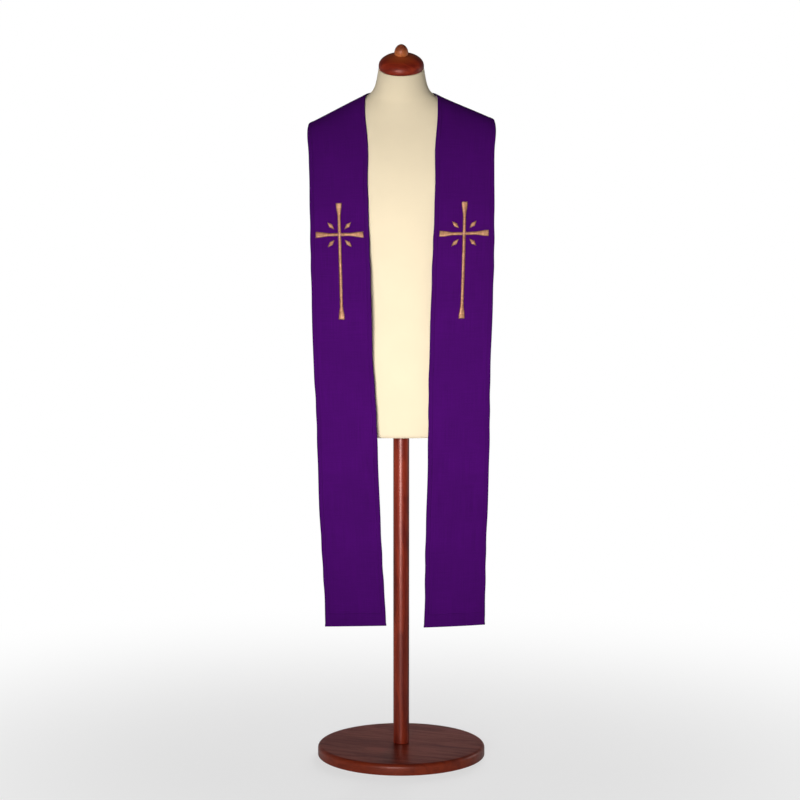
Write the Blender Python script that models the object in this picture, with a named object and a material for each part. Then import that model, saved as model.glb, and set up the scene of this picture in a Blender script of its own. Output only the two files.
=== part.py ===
"""Clerical stole on a limbless dress form.

Metres, +Z up, standing on the floor at z = 0 with the pole's axis through the origin. The front faces
-Y, and left and right are the wearer's, so the left band is at +X.

The stole is two straight bands of one width. Each lies over a shoulder, hangs down the front to its
hem, and turns across the back to a mitred seam at the centre, where it meets the other band.
The form is a smooth padded torso with a turned neck cap and knob, on a pole and a round base.
"""

import math

import bmesh
import bpy
import numpy as np
from mathutils import Vector

# ---------------------------------------------------------------- the stole's sizes (metres)

BAND_WIDTH = 0.142
CLOTH_WALL = 0.0024
SEAM_GAP = 0.0003

# The shoulder ridge runs outward and down along one straight line, and the cloth bends over it as a
# sheet bends over a rail, so it is hardly stretched.
SHOULDER_SLOPE = math.radians(25.4)
RIDGE_START = 0.0850
RIDGE_HEIGHT = 1.5683
BAND_CENTRE_AT_RIDGE = 0.1460

# A hanging band leans in towards the other, and faces slightly outward round the chest. Both come on
# between two distances below the ridge.
BAND_LEAN = math.radians(1.6)
CHEST_TURN = math.radians(6.0)
HANGS_FROM = 0.05
HANGS_FREE = 0.35

# Slope of the cloth from vertical, in degrees, at a distance over the ridge.
FRONT_FALL = (
    # distance, slope
    (0.000, 90.0),
    (0.024, 59.0),
    (0.050, 35.0),
    (0.090, 22.0),
    (0.160, 14.5),
    (0.240, 8.5),
    (0.330, 3.5),
    (0.420, 0.0),
    (1.400, 0.0),
)
BACK_FALL = (
    # distance, slope
    (0.000, 90.0),
    (0.024, 60.0),
    (0.050, 40.0),
    (0.090, 27.0),
    (0.160, 12.0),
    (0.240, 4.0),
    (0.330, 0.0),
    (0.600, 0.0),
)
FALL_STEP = 0.0005

# How each band hangs: its slide outward and the width it shows, at a distance below the ridge.
RIGHT_HANG = (
    # down, slide, width
    (0.00, 0.0000, 0.1420),
    (0.05, -0.0045, 0.1402),
    (0.08, -0.0069, 0.1403),
    (0.15, -0.0120, 0.1400),
    (0.22, -0.0114, 0.1360),
    (0.42, -0.0114, 0.1385),
    (0.60, -0.0104, 0.1390),
    (0.75, -0.0146, 0.1405),
    (0.93, -0.0154, 0.1425),
    (1.10, -0.0190, 0.1415),
    (1.22, -0.0223, 0.1425),
)
LEFT_HANG = (
    # down, slide, width
    (0.00, 0.0000, 0.1420),
    (0.05, -0.0040, 0.1404),
    (0.08, -0.0054, 0.1403),
    (0.15, -0.0107, 0.1402),
    (0.22, -0.0095, 0.1385),
    (0.42, -0.0087, 0.1445),
    (0.65, -0.0093, 0.1440),
    (0.80, -0.0063, 0.1445),
    (0.93, -0.0051, 0.1440),
    (1.05, -0.0057, 0.1435),
    (1.22, -0.0033, 0.1425),
)
BANDS = (
    # name, side, droop of the outer shoulder, skew of the rows, hem's inner height and rise, hang
    ("right", -1, 0.0040, 0.0560, 0.3324, -0.0044, RIGHT_HANG),
    ("left", 1, -0.0060, 0.0000, 0.3285, 0.0044, LEFT_HANG),
)

# Broad soft waves run down and across the hanging cloth, whose long edges also curl back a little.
WAVE_LENGTH = 0.310
WAVE_ACROSS = 0.35
WAVE_START = 0.17
WAVE_HEIGHT = 0.0022
EDGE_CURL = 0.0020

# Grid of a band: its zones from seam to hem, the rows in each, and the columns across.
RIDGE_ZONE = (-0.085, 0.115)
CHEST_END = 0.420
ROWS_BACK = 8
ROWS_RIDGE = 24
ROWS_CHEST = 20
ROWS_SKIRT = 16
COLUMNS = 8
NORMAL_STEP = 0.0010
SEAM_REACH = -0.45
HEM_SEARCH = (0.30, 1.39)
HALVINGS = 40

# A plain Latin cross in raised satin stitch, its four arms flared at their ends.
CROSS_GAP = 0.0004
CROSS_RAISE = 0.0009
CROSS_TOP = 0.262
CROSS_LENGTH = 0.266
CROSS_SPAN = 0.112
CROSS_BAR_DROP = 0.072
CROSS_BAR_HALF = 0.0025
CROSS_END_HALF = 0.0060
CROSS_FLARE = 0.034
CROSS_ARMS = (
    # direction along, direction across, reach from the crossing, pieces
    (-1, 0, CROSS_BAR_DROP, 8),
    (1, 0, CROSS_LENGTH - CROSS_BAR_DROP, 14),
    (0, -1, CROSS_SPAN / 2.0, 6),
    (0, 1, CROSS_SPAN / 2.0, 6),
)

# ---------------------------------------------------------------- the form's sizes (metres)

# Key sections of the torso, from the top of the neck to the bottom edge. A tilted section is higher
# at the back. Roundness is 2 for an ellipse, less for a lens and more for a rounded box.
FORM_SECTIONS = (
    # height, half_width, front, back, centre_y, tilt in degrees, roundness
    (1.6280, 0.0534, 0.0532, 0.0532, -0.0300, 26.0, 2.00),
    (1.6070, 0.0566, 0.0544, 0.0544, -0.0250, 23.0, 2.00),
    (1.5860, 0.0620, 0.0562, 0.0562, -0.0180, 18.0, 2.00),
    (1.5735, 0.0705, 0.0584, 0.0540, -0.0110, 13.0, 1.88),
    (1.5640, 0.0850, 0.0606, 0.0520, -0.0060, 9.0, 1.66),
    (1.5500, 0.1145, 0.0636, 0.0535, 0.0000, 6.0, 1.55),
    (1.5295, 0.1566, 0.0648, 0.0600, 0.0000, 4.0, 1.56),
    (1.5090, 0.1985, 0.0668, 0.0660, 0.0000, 3.0, 1.64),
    (1.4950, 0.2160, 0.0694, 0.0705, 0.0000, 2.0, 1.75),
    (1.4720, 0.2216, 0.0752, 0.0785, 0.0000, 1.0, 1.90),
    (1.4300, 0.2170, 0.0868, 0.0890, 0.0000, 0.0, 2.05),
    (1.3700, 0.2000, 0.0985, 0.0960, 0.0000, 0.0, 2.15),
    (1.2900, 0.1830, 0.1085, 0.0985, 0.0000, 0.0, 2.25),
    (1.2000, 0.1660, 0.1060, 0.0920, 0.0000, 0.0, 2.25),
    (1.1100, 0.1520, 0.0960, 0.0850, 0.0000, 0.0, 2.25),
    (1.0300, 0.1580, 0.0960, 0.0900, 0.0000, 0.0, 2.25),
    (0.9200, 0.1770, 0.1020, 0.1050, 0.0000, 0.0, 2.25),
    (0.8400, 0.1790, 0.1020, 0.1080, 0.0000, 0.0, 2.25),
    (0.7760, 0.1720, 0.0970, 0.1020, 0.0000, 0.0, 2.25),
    (0.7700, 0.1670, 0.0920, 0.0970, 0.0000, 0.0, 2.25),
)
RINGS_PER_SECTION = 2
FORM_SIDES = 56

PIECE_GAP = 0.0003
TURNING_SIDES = 40
WELD = 0.00001

# The cap and the knob are domes: a short undercut from the foot out to the widest line, and a round
# top in to a flat seat. A fullness of 2 is an ellipse, more is boxier and less is more pointed.
CAP_DOME = {
    "foot": 0.0508, "undercut": 0.0016, "radius": 0.0528, "widest_at": 0.0050,
    "rise": 0.0280, "fullness": 2.20, "seat": 0.0175, "steps": 9,
}
KNOB_DOME = {
    "foot": 0.0148, "undercut": 0.0016, "radius": 0.0163, "widest_at": 0.0052,
    "rise": 0.0204, "fullness": 1.90, "seat": 0.0, "steps": 8,
}
UNDERCUT_OUT = 0.75
POLE_RADIUS = 0.0190
BASE_RADIUS = 0.2000
BASE_THICKNESS = 0.0260
BASE_EDGE = 0.0090
BASE_EDGE_STEPS = 4

# ---------------------------------------------------------------- materials and objects

FINISHES = {
    # slot: colour, roughness, metallic
    "violet_cloth": ((0.060, 0.006, 0.145), 0.85, 0.0),
    "gold_thread": ((0.420, 0.210, 0.045), 0.45, 0.2),
    "cream_cover": ((0.780, 0.670, 0.460), 0.90, 0.0),
    "mahogany": ((0.150, 0.022, 0.012), 0.25, 0.0),
}
SHARP_ANGLE = math.radians(35.0)


def make_material(slot):
    """A Principled material of one finish."""
    colour, roughness, metallic = FINISHES[slot]
    material = bpy.data.materials.new(slot)
    material.use_nodes = True
    shader = material.node_tree.nodes["Principled BSDF"]
    shader.inputs["Base Color"].default_value = (*colour, 1.0)
    shader.inputs["Roughness"].default_value = roughness
    shader.inputs["Metallic"].default_value = metallic
    return material


def add_object(name, shape, material):
    """One named object from a closed bmesh, faces pointing out, smooth but for its sharp edges."""
    bmesh.ops.recalc_face_normals(shape, faces=shape.faces)
    mesh = bpy.data.meshes.new(name)
    shape.to_mesh(mesh)
    shape.free()
    mesh.shade_smooth()
    mesh.set_sharp_from_angle(angle=SHARP_ANGLE)
    mesh.materials.append(material)
    part = bpy.data.objects.new(name, mesh)
    bpy.context.scene.collection.objects.link(part)
    return part


# ---------------------------------------------------------------- curves

def smooth_table(rows, column, at):
    """Read one column of a table at any place: a cubic through the rows that never overshoots."""
    place = np.array([row[0] for row in rows], dtype=float)
    value = np.array([row[column] for row in rows], dtype=float)
    step = np.diff(place)
    secant = np.diff(value) / step
    slope = np.zeros_like(value)
    for i in range(1, len(rows) - 1):
        if secant[i - 1] * secant[i] > 0.0:
            weight_a = 2.0 * step[i] + step[i - 1]
            weight_b = step[i] + 2.0 * step[i - 1]
            slope[i] = (weight_a + weight_b) / (weight_a / secant[i - 1] + weight_b / secant[i])
    at = np.clip(np.asarray(at, dtype=float), place[0], place[-1])
    cell = np.clip(np.searchsorted(place, at, side="right") - 1, 0, len(step) - 1)
    t = (at - place[cell]) / step[cell]
    start = (1.0 + 2.0 * t) * (1.0 - t) ** 2 * value[cell]
    end = t ** 2 * (3.0 - 2.0 * t) * value[cell + 1]
    lead = t * (1.0 - t) ** 2 * step[cell] * slope[cell]
    trail = t ** 2 * (t - 1.0) * step[cell] * slope[cell + 1]
    return start + end + lead + trail


def smooth_step(value, start, end):
    """0 before start, 1 after end, and a smooth rise between them."""
    t = np.clip((value - start) / (end - start), 0.0, 1.0)
    return t * t * (3.0 - 2.0 * t)


def fall_curve(rows):
    """Add up a table of slopes: the drop and the reach at each distance over the ridge."""
    distance = np.arange(0.0, rows[-1][0] + FALL_STEP, FALL_STEP)
    slope = np.radians(smooth_table(rows, 1, distance))
    middle = 0.5 * (slope[1:] + slope[:-1])
    drop = np.concatenate(([0.0], np.cumsum(np.cos(middle)) * FALL_STEP))
    reach = np.concatenate(([0.0], np.cumsum(np.sin(middle)) * FALL_STEP))
    return distance, drop, reach


FRONT_CURVE = fall_curve(FRONT_FALL)
BACK_CURVE = fall_curve(BACK_FALL)


def over_the_ridge(distance):
    """Drop below the ridge and place in y, in front of it (distance > 0) or behind it."""
    ahead = np.maximum(distance, 0.0)
    behind = np.maximum(-distance, 0.0)
    drop = np.interp(ahead, FRONT_CURVE[0], FRONT_CURVE[1])
    drop += np.interp(behind, BACK_CURVE[0], BACK_CURVE[1])
    y = -np.interp(ahead, FRONT_CURVE[0], FRONT_CURVE[2])
    y += np.interp(behind, BACK_CURVE[0], BACK_CURVE[2])
    return drop, y


# ---------------------------------------------------------------- the bands

class Band:
    """One band as a sheet. A place on it is metres along from the ridge and metres across, outward.

    The band crosses the ridge at an angle, so that it hangs almost straight down in front and runs
    in to the centre behind.
    """

    CROSSING = SHOULDER_SLOPE - BAND_LEAN
    CENTRE = (BAND_CENTRE_AT_RIDGE - RIDGE_START) / math.cos(SHOULDER_SLOPE)

    def __init__(self, side, droop, skew, hem_height, hem_rise, hang):
        self.side = side
        self.droop = droop
        self.skew = skew
        self.hem_height = hem_height
        self.hem_rise = hem_rise
        self.hang = hang

    def sheet(self, along, across):
        """Middle of the cloth's thickness at a place on the band."""
        along = np.asarray(along, dtype=float)
        slide = smooth_table(self.hang, 1, along)
        across = np.asarray(across, dtype=float) * smooth_table(self.hang, 2, along) / BAND_WIDTH
        edge = 2.0 * across / BAND_WIDTH
        hanging = smooth_step(along, HANGS_FROM, HANGS_FREE)
        along = along - self.skew * across * hanging

        over = along * math.cos(self.CROSSING) - across * math.sin(self.CROSSING)
        out = self.CENTRE + along * math.sin(self.CROSSING) + across * math.cos(self.CROSSING) + slide
        drop, y = over_the_ridge(over)
        x = RIDGE_START + out * math.cos(SHOULDER_SLOPE) - drop * math.sin(SHOULDER_SLOPE)
        z = RIDGE_HEIGHT - out * math.sin(SHOULDER_SLOPE) - drop * math.cos(SHOULDER_SLOPE)
        z = z - self.droop * smooth_step(x, RIDGE_START, RIDGE_START + BAND_WIDTH)

        turn = CHEST_TURN * hanging
        x = x - across * (1.0 - np.cos(turn))
        y = y + across * np.sin(turn)
        phase = along / WAVE_LENGTH + 0.5 * WAVE_ACROSS * edge + WAVE_START * self.side
        y = y - WAVE_HEIGHT * hanging * np.sin(2.0 * math.pi * phase)
        y = y + EDGE_CURL * hanging * edge ** 2
        return np.stack((self.side * x, y, z), axis=-1)

    def surface(self, along, across, lift):
        """A place at a height above the middle of the cloth, or below it where lift is negative."""
        along = np.asarray(along, dtype=float)
        across = np.asarray(across, dtype=float)
        lengthwise = self.sheet(along + NORMAL_STEP, across) - self.sheet(along - NORMAL_STEP, across)
        crosswise = self.sheet(along, across + NORMAL_STEP) - self.sheet(along, across - NORMAL_STEP)
        normal = np.cross(lengthwise, crosswise) * self.side
        normal /= np.linalg.norm(normal, axis=-1, keepdims=True)
        return self.sheet(along, across) + lift * normal

    def find_along(self, height_of, target, across, lift, near, far):
        """Distance along the band where height_of(point) falls to a target, found by halving."""
        near = np.full(across.shape, near)
        far = np.full(across.shape, far)
        for _ in range(HALVINGS):
            middle = 0.5 * (near + far)
            beyond = height_of(self.surface(middle, across, lift)) < target
            far = np.where(beyond, middle, far)
            near = np.where(beyond, near, middle)
        return 0.5 * (near + far)

    def face_grid(self, lift):
        """Rows of points of one face of the band, from the centre-back seam to the hem."""
        across = BAND_WIDTH * (np.arange(COLUMNS + 1) / COLUMNS - 0.5)
        seam = self.find_along(
            lambda point: self.side * point[..., 0], SEAM_GAP / 2.0, across, lift, 0.0, SEAM_REACH)
        hem_line = self.hem_height + self.hem_rise * (across / BAND_WIDTH + 0.5)
        hem = self.find_along(lambda point: point[..., 2], hem_line, across, lift, *HEM_SEARCH)
        zones = (
            # from, to, rows
            (seam, RIDGE_ZONE[0], ROWS_BACK),
            (RIDGE_ZONE[0], RIDGE_ZONE[1], ROWS_RIDGE),
            (RIDGE_ZONE[1], CHEST_END, ROWS_CHEST),
            (CHEST_END, hem, ROWS_SKIRT),
        )
        rows = [self.surface(seam, across, lift)]
        for start, end, count in zones:
            for i in range(1, count + 1):
                along = start + (end - start) * i / count + np.zeros_like(across)
                rows.append(self.surface(along, across, lift))
        return np.array(rows)


def rim_of(corners):
    """The outline of a grid of corners, in order round it."""
    rim = corners[0] + [row[-1] for row in corners[1:]]
    return rim + corners[-1][-2::-1] + [row[0] for row in corners[-2:0:-1]]


def make_band(name, band, material):
    """The band's wall: an outer and an inner face joined along all four edges."""
    shape = bmesh.new()
    rims = []
    for lift in (CLOTH_WALL / 2.0, -CLOTH_WALL / 2.0):
        corners = [[shape.verts.new(point) for point in row] for row in band.face_grid(lift)]
        for lower, upper in zip(corners, corners[1:]):
            for j in range(COLUMNS):
                shape.faces.new((lower[j], lower[j + 1], upper[j + 1], upper[j]))
        rims.append(rim_of(corners))
    outer, inner = rims
    for k in range(len(outer)):
        shape.faces.new((outer[k - 1], outer[k], inner[k], inner[k - 1]))
    return add_object(name, shape, material)


# ---------------------------------------------------------------- the embroidered crosses

def cross_half_width(out, reach):
    """Half width of a cross's arm: even, then flared towards its end."""
    flare = float(smooth_step(out, reach - CROSS_FLARE, reach))
    return CROSS_BAR_HALF + (CROSS_END_HALF - CROSS_BAR_HALF) * flare


def cross_cells():
    """Flat four-sided cells of a cross, corners as (along, across): its crossing and four arms."""
    centre = CROSS_TOP + CROSS_BAR_DROP
    bar = CROSS_BAR_HALF
    cells = [((centre - bar, -bar), (centre - bar, bar), (centre + bar, bar), (centre + bar, -bar))]
    for step_along, step_across, reach, pieces in CROSS_ARMS:
        previous = None
        for i in range(pieces + 1):
            out = bar + (reach - bar) * i / pieces
            half = cross_half_width(out, reach)
            along = centre + step_along * out
            across = step_across * out
            first = (along - step_across * half, across - step_along * half)
            second = (along + step_across * half, across + step_along * half)
            if previous:
                cells.append((*previous, second, first))
            previous = (first, second)
    return cells


def make_cross(name, band, material):
    """A thin raised plate in the cross's outline, made from the band's own points moved out."""
    low = CLOTH_WALL / 2.0 + CROSS_GAP
    high = low + CROSS_RAISE
    shape = bmesh.new()
    pairs = {}
    uses = {}
    for cell in cross_cells():
        keys = [(round(along, 7), round(across, 7)) for along, across in cell]
        for key in keys:
            if key not in pairs:
                pairs[key] = [shape.verts.new(band.surface(*key, lift)) for lift in (low, high)]
        for level in (0, 1):
            shape.faces.new([pairs[key][level] for key in keys])
        for first, second in zip(keys, keys[1:] + keys[:1]):
            edge = tuple(sorted((first, second)))
            uses[edge] = uses.get(edge, 0) + 1
    for (first, second), count in uses.items():
        if count == 1:
            shape.faces.new((*pairs[first], *reversed(pairs[second])))
    return add_object(name, shape, material)


# ---------------------------------------------------------------- the dress form

def signed_power(value, power):
    """A power that keeps the sign of its value."""
    return math.copysign(abs(value) ** power, value)


def form_ring(height, half_width, front, back, centre_y, tilt, roundness):
    """One ring of the torso, with its own depth in front and behind, and tilted about X."""
    tilt = math.radians(tilt)
    ring = []
    for k in range(FORM_SIDES):
        turn = 2.0 * math.pi * k / FORM_SIDES
        x = half_width * signed_power(math.cos(turn), 2.0 / roundness)
        depth = back if math.sin(turn) > 0.0 else front
        y = depth * signed_power(math.sin(turn), 2.0 / roundness)
        ring.append((x, centre_y + y * math.cos(tilt), height + y * math.sin(tilt)))
    return ring


def make_torso(name, material):
    """The padded torso: a loft through its sections, closed flat at the neck and at the bottom."""
    table = [(i, *row) for i, row in enumerate(FORM_SECTIONS)]
    last = len(table) - 1
    places = np.linspace(0.0, last, last * RINGS_PER_SECTION + 1)
    columns = [smooth_table(table, column, places) for column in range(1, len(table[0]))]
    shape = bmesh.new()
    rings = [[shape.verts.new(point) for point in form_ring(*row)] for row in zip(*columns)]
    for upper, lower in zip(rings, rings[1:]):
        for k in range(FORM_SIDES):
            shape.faces.new((upper[k - 1], upper[k], lower[k], lower[k - 1]))
    shape.faces.new(rings[0])
    shape.faces.new(rings[-1])
    return add_object(name, shape, material)


# ---------------------------------------------------------------- turned wood

def make_turned(name, profile, material):
    """A turned piece: its profile of (radius, height) spun about +Z and closed at both ends."""
    outline = [(0.0, profile[0][1]), *profile]
    if profile[-1][0] > WELD:
        outline.append((0.0, profile[-1][1]))
    shape = bmesh.new()
    chain = [shape.verts.new((radius, 0.0, height)) for radius, height in outline]
    edges = [shape.edges.new(pair) for pair in zip(chain, chain[1:])]
    bmesh.ops.spin(
        shape, geom=chain + edges, cent=(0.0, 0.0, 0.0), axis=(0.0, 0.0, 1.0),
        angle=2.0 * math.pi, steps=TURNING_SIDES, use_merge=True)
    bmesh.ops.remove_doubles(shape, verts=shape.verts, dist=WELD)
    return add_object(name, shape, material)


def arc(centre_radius, centre_height, radius, start, end, count):
    """Points of an arc in the (radius, height) plane, its angles measured up from outward."""
    points = []
    for i in range(count + 1):
        turn = start + (end - start) * i / count
        points.append((centre_radius + radius * math.cos(turn), centre_height + radius * math.sin(turn)))
    return points


def dome_profile(foot, undercut, radius, widest_at, rise, fullness, seat, steps):
    """Profile of a dome: its foot, its widest line, and a round top in to the seat's radius."""
    last_turn = math.acos((seat / radius) ** (fullness / 2.0))
    points = [(foot, 0.0), (foot + UNDERCUT_OUT * (radius - foot), undercut)]
    for i in range(steps + 1):
        turn = last_turn * i / steps
        out = radius * math.cos(turn) ** (2.0 / fullness)
        points.append((out, widest_at + rise * math.sin(turn) ** (2.0 / fullness)))
    return points


def make_cap_and_knob(material):
    """The domed cap on the tilted neck, and the knob on the cap's flat seat."""
    top = FORM_SECTIONS[0]
    tilt = math.radians(top[5])
    neck = Vector((0.0, top[4], top[0]))
    axis = Vector((0.0, -math.sin(tilt), math.cos(tilt)))

    cap_profile = dome_profile(**CAP_DOME)
    knob_seat = cap_profile[-1][1] + 2.0 * PIECE_GAP
    for name, profile, seat in (
        ("neck_cap", cap_profile, PIECE_GAP),
        ("cap_knob", dome_profile(**KNOB_DOME), knob_seat),
    ):
        piece = make_turned(name, profile, material)
        piece.rotation_euler = (tilt, 0.0, 0.0)
        piece.location = neck + axis * seat


def make_stand(material):
    """The pole up to the torso's bottom and the round base with its rounded upper edge."""
    base_profile = [(BASE_RADIUS, 0.0)]
    base_profile += arc(
        BASE_RADIUS - BASE_EDGE, BASE_THICKNESS - BASE_EDGE, BASE_EDGE,
        0.0, math.pi / 2.0, BASE_EDGE_STEPS)
    make_turned("stand_base", base_profile, material)

    pole_foot = BASE_THICKNESS + PIECE_GAP
    pole_top = FORM_SECTIONS[-1][0] - PIECE_GAP
    make_turned("stand_pole", [(POLE_RADIUS, pole_foot), (POLE_RADIUS, pole_top)], material)


def build():
    """Clear the scene and make every piece."""
    for item in list(bpy.data.objects):
        bpy.data.objects.remove(item, do_unlink=True)
    finish = {slot: make_material(slot) for slot in FINISHES}
    for name, *shape in BANDS:
        band = Band(*shape)
        make_band(f"stole_{name}_band", band, finish["violet_cloth"])
        make_cross(f"cross_{name}", band, finish["gold_thread"])
    make_torso("form_torso", finish["cream_cover"])
    make_cap_and_knob(finish["mahogany"])
    make_stand(finish["mahogany"])
    bpy.context.view_layer.update()


build()
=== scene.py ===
# %% [markdown]
# # A clerical stole on a dress form
#
# A stole is the long band that clergy wear round the neck. This one is made of two straight strips of
# violet cloth, sewn together in a mitre at the centre of the back. It is shown on a limbless dress
# form with a turned wooden cap, pole and base.
#
# The lesson dresses a packed set of plain solids. The solids say where everything is and how big it
# is, and they stay as they are. Each one gets a finer piece, with its own finish, in its place.
# All sizes are in metres, +Z is up, the front faces -Y, and left and right are the wearer's.

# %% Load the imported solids
import math

import bmesh
import bpy
import numpy as np
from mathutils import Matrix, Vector


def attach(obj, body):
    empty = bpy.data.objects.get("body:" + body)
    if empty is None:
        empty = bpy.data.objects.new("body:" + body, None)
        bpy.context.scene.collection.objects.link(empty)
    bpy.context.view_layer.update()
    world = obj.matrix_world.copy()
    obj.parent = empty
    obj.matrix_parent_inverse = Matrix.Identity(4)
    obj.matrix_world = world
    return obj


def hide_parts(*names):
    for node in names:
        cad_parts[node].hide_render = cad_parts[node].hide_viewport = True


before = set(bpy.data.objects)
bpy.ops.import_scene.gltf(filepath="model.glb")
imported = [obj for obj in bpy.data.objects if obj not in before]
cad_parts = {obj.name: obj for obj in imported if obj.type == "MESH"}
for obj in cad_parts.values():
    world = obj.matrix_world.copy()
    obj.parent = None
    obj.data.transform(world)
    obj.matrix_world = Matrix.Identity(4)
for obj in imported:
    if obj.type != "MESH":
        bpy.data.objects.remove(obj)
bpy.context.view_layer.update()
print("solids:", ", ".join(sorted(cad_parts)))

# %% [markdown]
# ## Where the camera stands
#
# A garment on a form is pictured from a few metres away with a long lens, so that its two ends do not
# spread apart in perspective. The camera stands at chest height and looks down by a few degrees, and
# the focal length is written in pixels of an 800-pixel frame, because that is how it was worked out.

# %% The camera
FRAME_PIXELS = 800
FOCAL_PIXELS = 1903.2
EYE = (-0.003, -4.5, 1.2)
LOOKS_DOWN = math.radians(4.4175)


def link(thing):
    """Put an object in the scene and hand it back."""
    bpy.context.scene.collection.objects.link(thing)
    return thing


camera = link(bpy.data.objects.new("camera", bpy.data.cameras.new("camera")))
camera.data.sensor_width = 36.0
camera.data.lens = camera.data.sensor_width * FOCAL_PIXELS / FRAME_PIXELS
camera.location = EYE
camera.rotation_euler = (math.pi / 2.0 - LOOKS_DOWN, 0.0, 0.0)
bpy.context.scene.camera = camera
bpy.context.scene.view_settings.view_transform = "Standard"
print(f"lens {camera.data.lens:.1f} mm")

# %% [markdown]
# ## Small helpers for materials
#
# Every finish here is made of nodes. A few helpers keep that readable: they add a node with its
# settings, do arithmetic, blend colours and raise a bump. A value that is the same all over a surface
# is set on the shader's own socket. Only what varies from place to place arrives by a link.

# %% Node helpers


def plug(tree, value, socket):
    """Set a socket to a value, or link it to another socket or to a node's first output."""
    if isinstance(value, bpy.types.Node):
        value = value.outputs[0]
    if isinstance(value, bpy.types.NodeSocket):
        tree.links.new(value, socket)
    else:
        socket.default_value = value


def add_node(tree, kind, settings=None, **inputs):
    """Add a node, set its properties, then plug each input given by name or position."""
    node = tree.nodes.new(kind)
    for name, value in (settings or {}).items():
        setattr(node, name, value)
    for name, value in inputs.items():
        key = int(name[1:]) if name[0] == "i" and name[1:].isdigit() else name.replace("_", " ")
        plug(tree, value, node.inputs[key])
    return node


def calc(tree, operation, *values):
    """One step of arithmetic, in a material or in Geometry Nodes: the result's socket."""
    inputs = {f"i{k}": value for k, value in enumerate(values)}
    return add_node(tree, "ShaderNodeMath", {"operation": operation}, **inputs).outputs[0]


def vector(tree, **axes):
    """A vector from its X, Y and Z. An axis that isn't given is 0."""
    return add_node(tree, "ShaderNodeCombineXYZ", **axes)


def mesh_value(tree, name):
    """A number that the mesh keeps as a named attribute, read in a material."""
    return add_node(tree, "ShaderNodeAttribute", {"attribute_name": name}).outputs["Fac"]


def remap(tree, value, low, high, out_low, out_high):
    """Stretch a value from one range to another, with a smooth start and end."""
    return add_node(
        tree, "ShaderNodeMapRange", {"interpolation_type": "SMOOTHSTEP"},
        Value=value, From_Min=low, From_Max=high, To_Min=out_low, To_Max=out_high).outputs[0]


# %% [markdown]
# The mix node serves numbers, vectors and colours alike, and each has sockets of its own under the
# same names. So the colour sockets are found by their position.

# %% Colour helpers
MIX_FIRST, MIX_SECOND, MIX_RESULT = 6, 7, 2


def mix_colours(tree, share, first, second, way="MIX"):
    """Blend two colours, each a plain (red, green, blue) or an output."""
    node = add_node(tree, "ShaderNodeMix", {"data_type": "RGBA", "blend_type": way}, Factor=share)
    for index, colour in ((MIX_FIRST, first), (MIX_SECOND, second)):
        plug(tree, (*colour, 1.0) if isinstance(colour, tuple) else colour, node.inputs[index])
    return node.outputs[MIX_RESULT]


def tinted(tree, colour, tone):
    """A colour made lighter or darker by a tone that sits round 1."""
    grey = add_node(tree, "ShaderNodeCombineColor", Red=tone, Green=tone, Blue=tone)
    return mix_colours(tree, 1.0, colour, grey, "MULTIPLY")


# %% Start and finish a material


def start_material(name, **sockets):
    """A Principled material with its even values set: the tree and the shader."""
    material = bpy.data.materials.new(name)
    material.use_nodes = True
    tree = material.node_tree
    shader = tree.nodes["Principled BSDF"]
    for socket, value in sockets.items():
        shader.inputs[socket.replace("_", " ")].default_value = value
    return material, tree, shader


def finish_material(tree, shader, colour, height, strength, distance):
    """Link what varies over the surface: its colour, and a bump of a height from 0 to 1."""
    bump = add_node(
        tree, "ShaderNodeBump", Strength=strength, Distance=distance, Height=height)
    plug(tree, colour, shader.inputs["Base Color"])
    plug(tree, bump, shader.inputs["Normal"])


# %% [markdown]
# An effect that several finishes share is kept as a node group, a small tree with its own named
# sockets. A material then uses it like a single node, with its own values.

# %% Node groups


def start_group(name, inputs, outputs):
    """A shader node group with named sockets: the group and its two end nodes."""
    group = bpy.data.node_groups.new(name, "ShaderNodeTree")
    for socket, kind, value in inputs:
        made = group.interface.new_socket(socket, in_out="INPUT", socket_type=kind)
        if value is not None:
            made.default_value = value
    for socket, kind in outputs:
        group.interface.new_socket(socket, in_out="OUTPUT", socket_type=kind)
    return group, group.nodes.new("NodeGroupInput"), group.nodes.new("NodeGroupOutput")


def use_group(tree, group, **inputs):
    """Place a node group in a material with its own values."""
    return add_node(tree, "ShaderNodeGroup", {"node_tree": group}, **inputs)


# %% [markdown]
# ## Effects that several finishes share
#
# Plain weave passes each thread over one and under the next. Two sines at right angles give the
# threads, and the sign of their product says which of the two is on top. The stole and the form's
# cover both use it, at different thread counts. The mottle is a slow change of tone that no real
# surface is without, and the wood grain is noise drawn out along one axis.

# %% Effect: plain weave
MEAN_HEIGHT = 0.6


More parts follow.
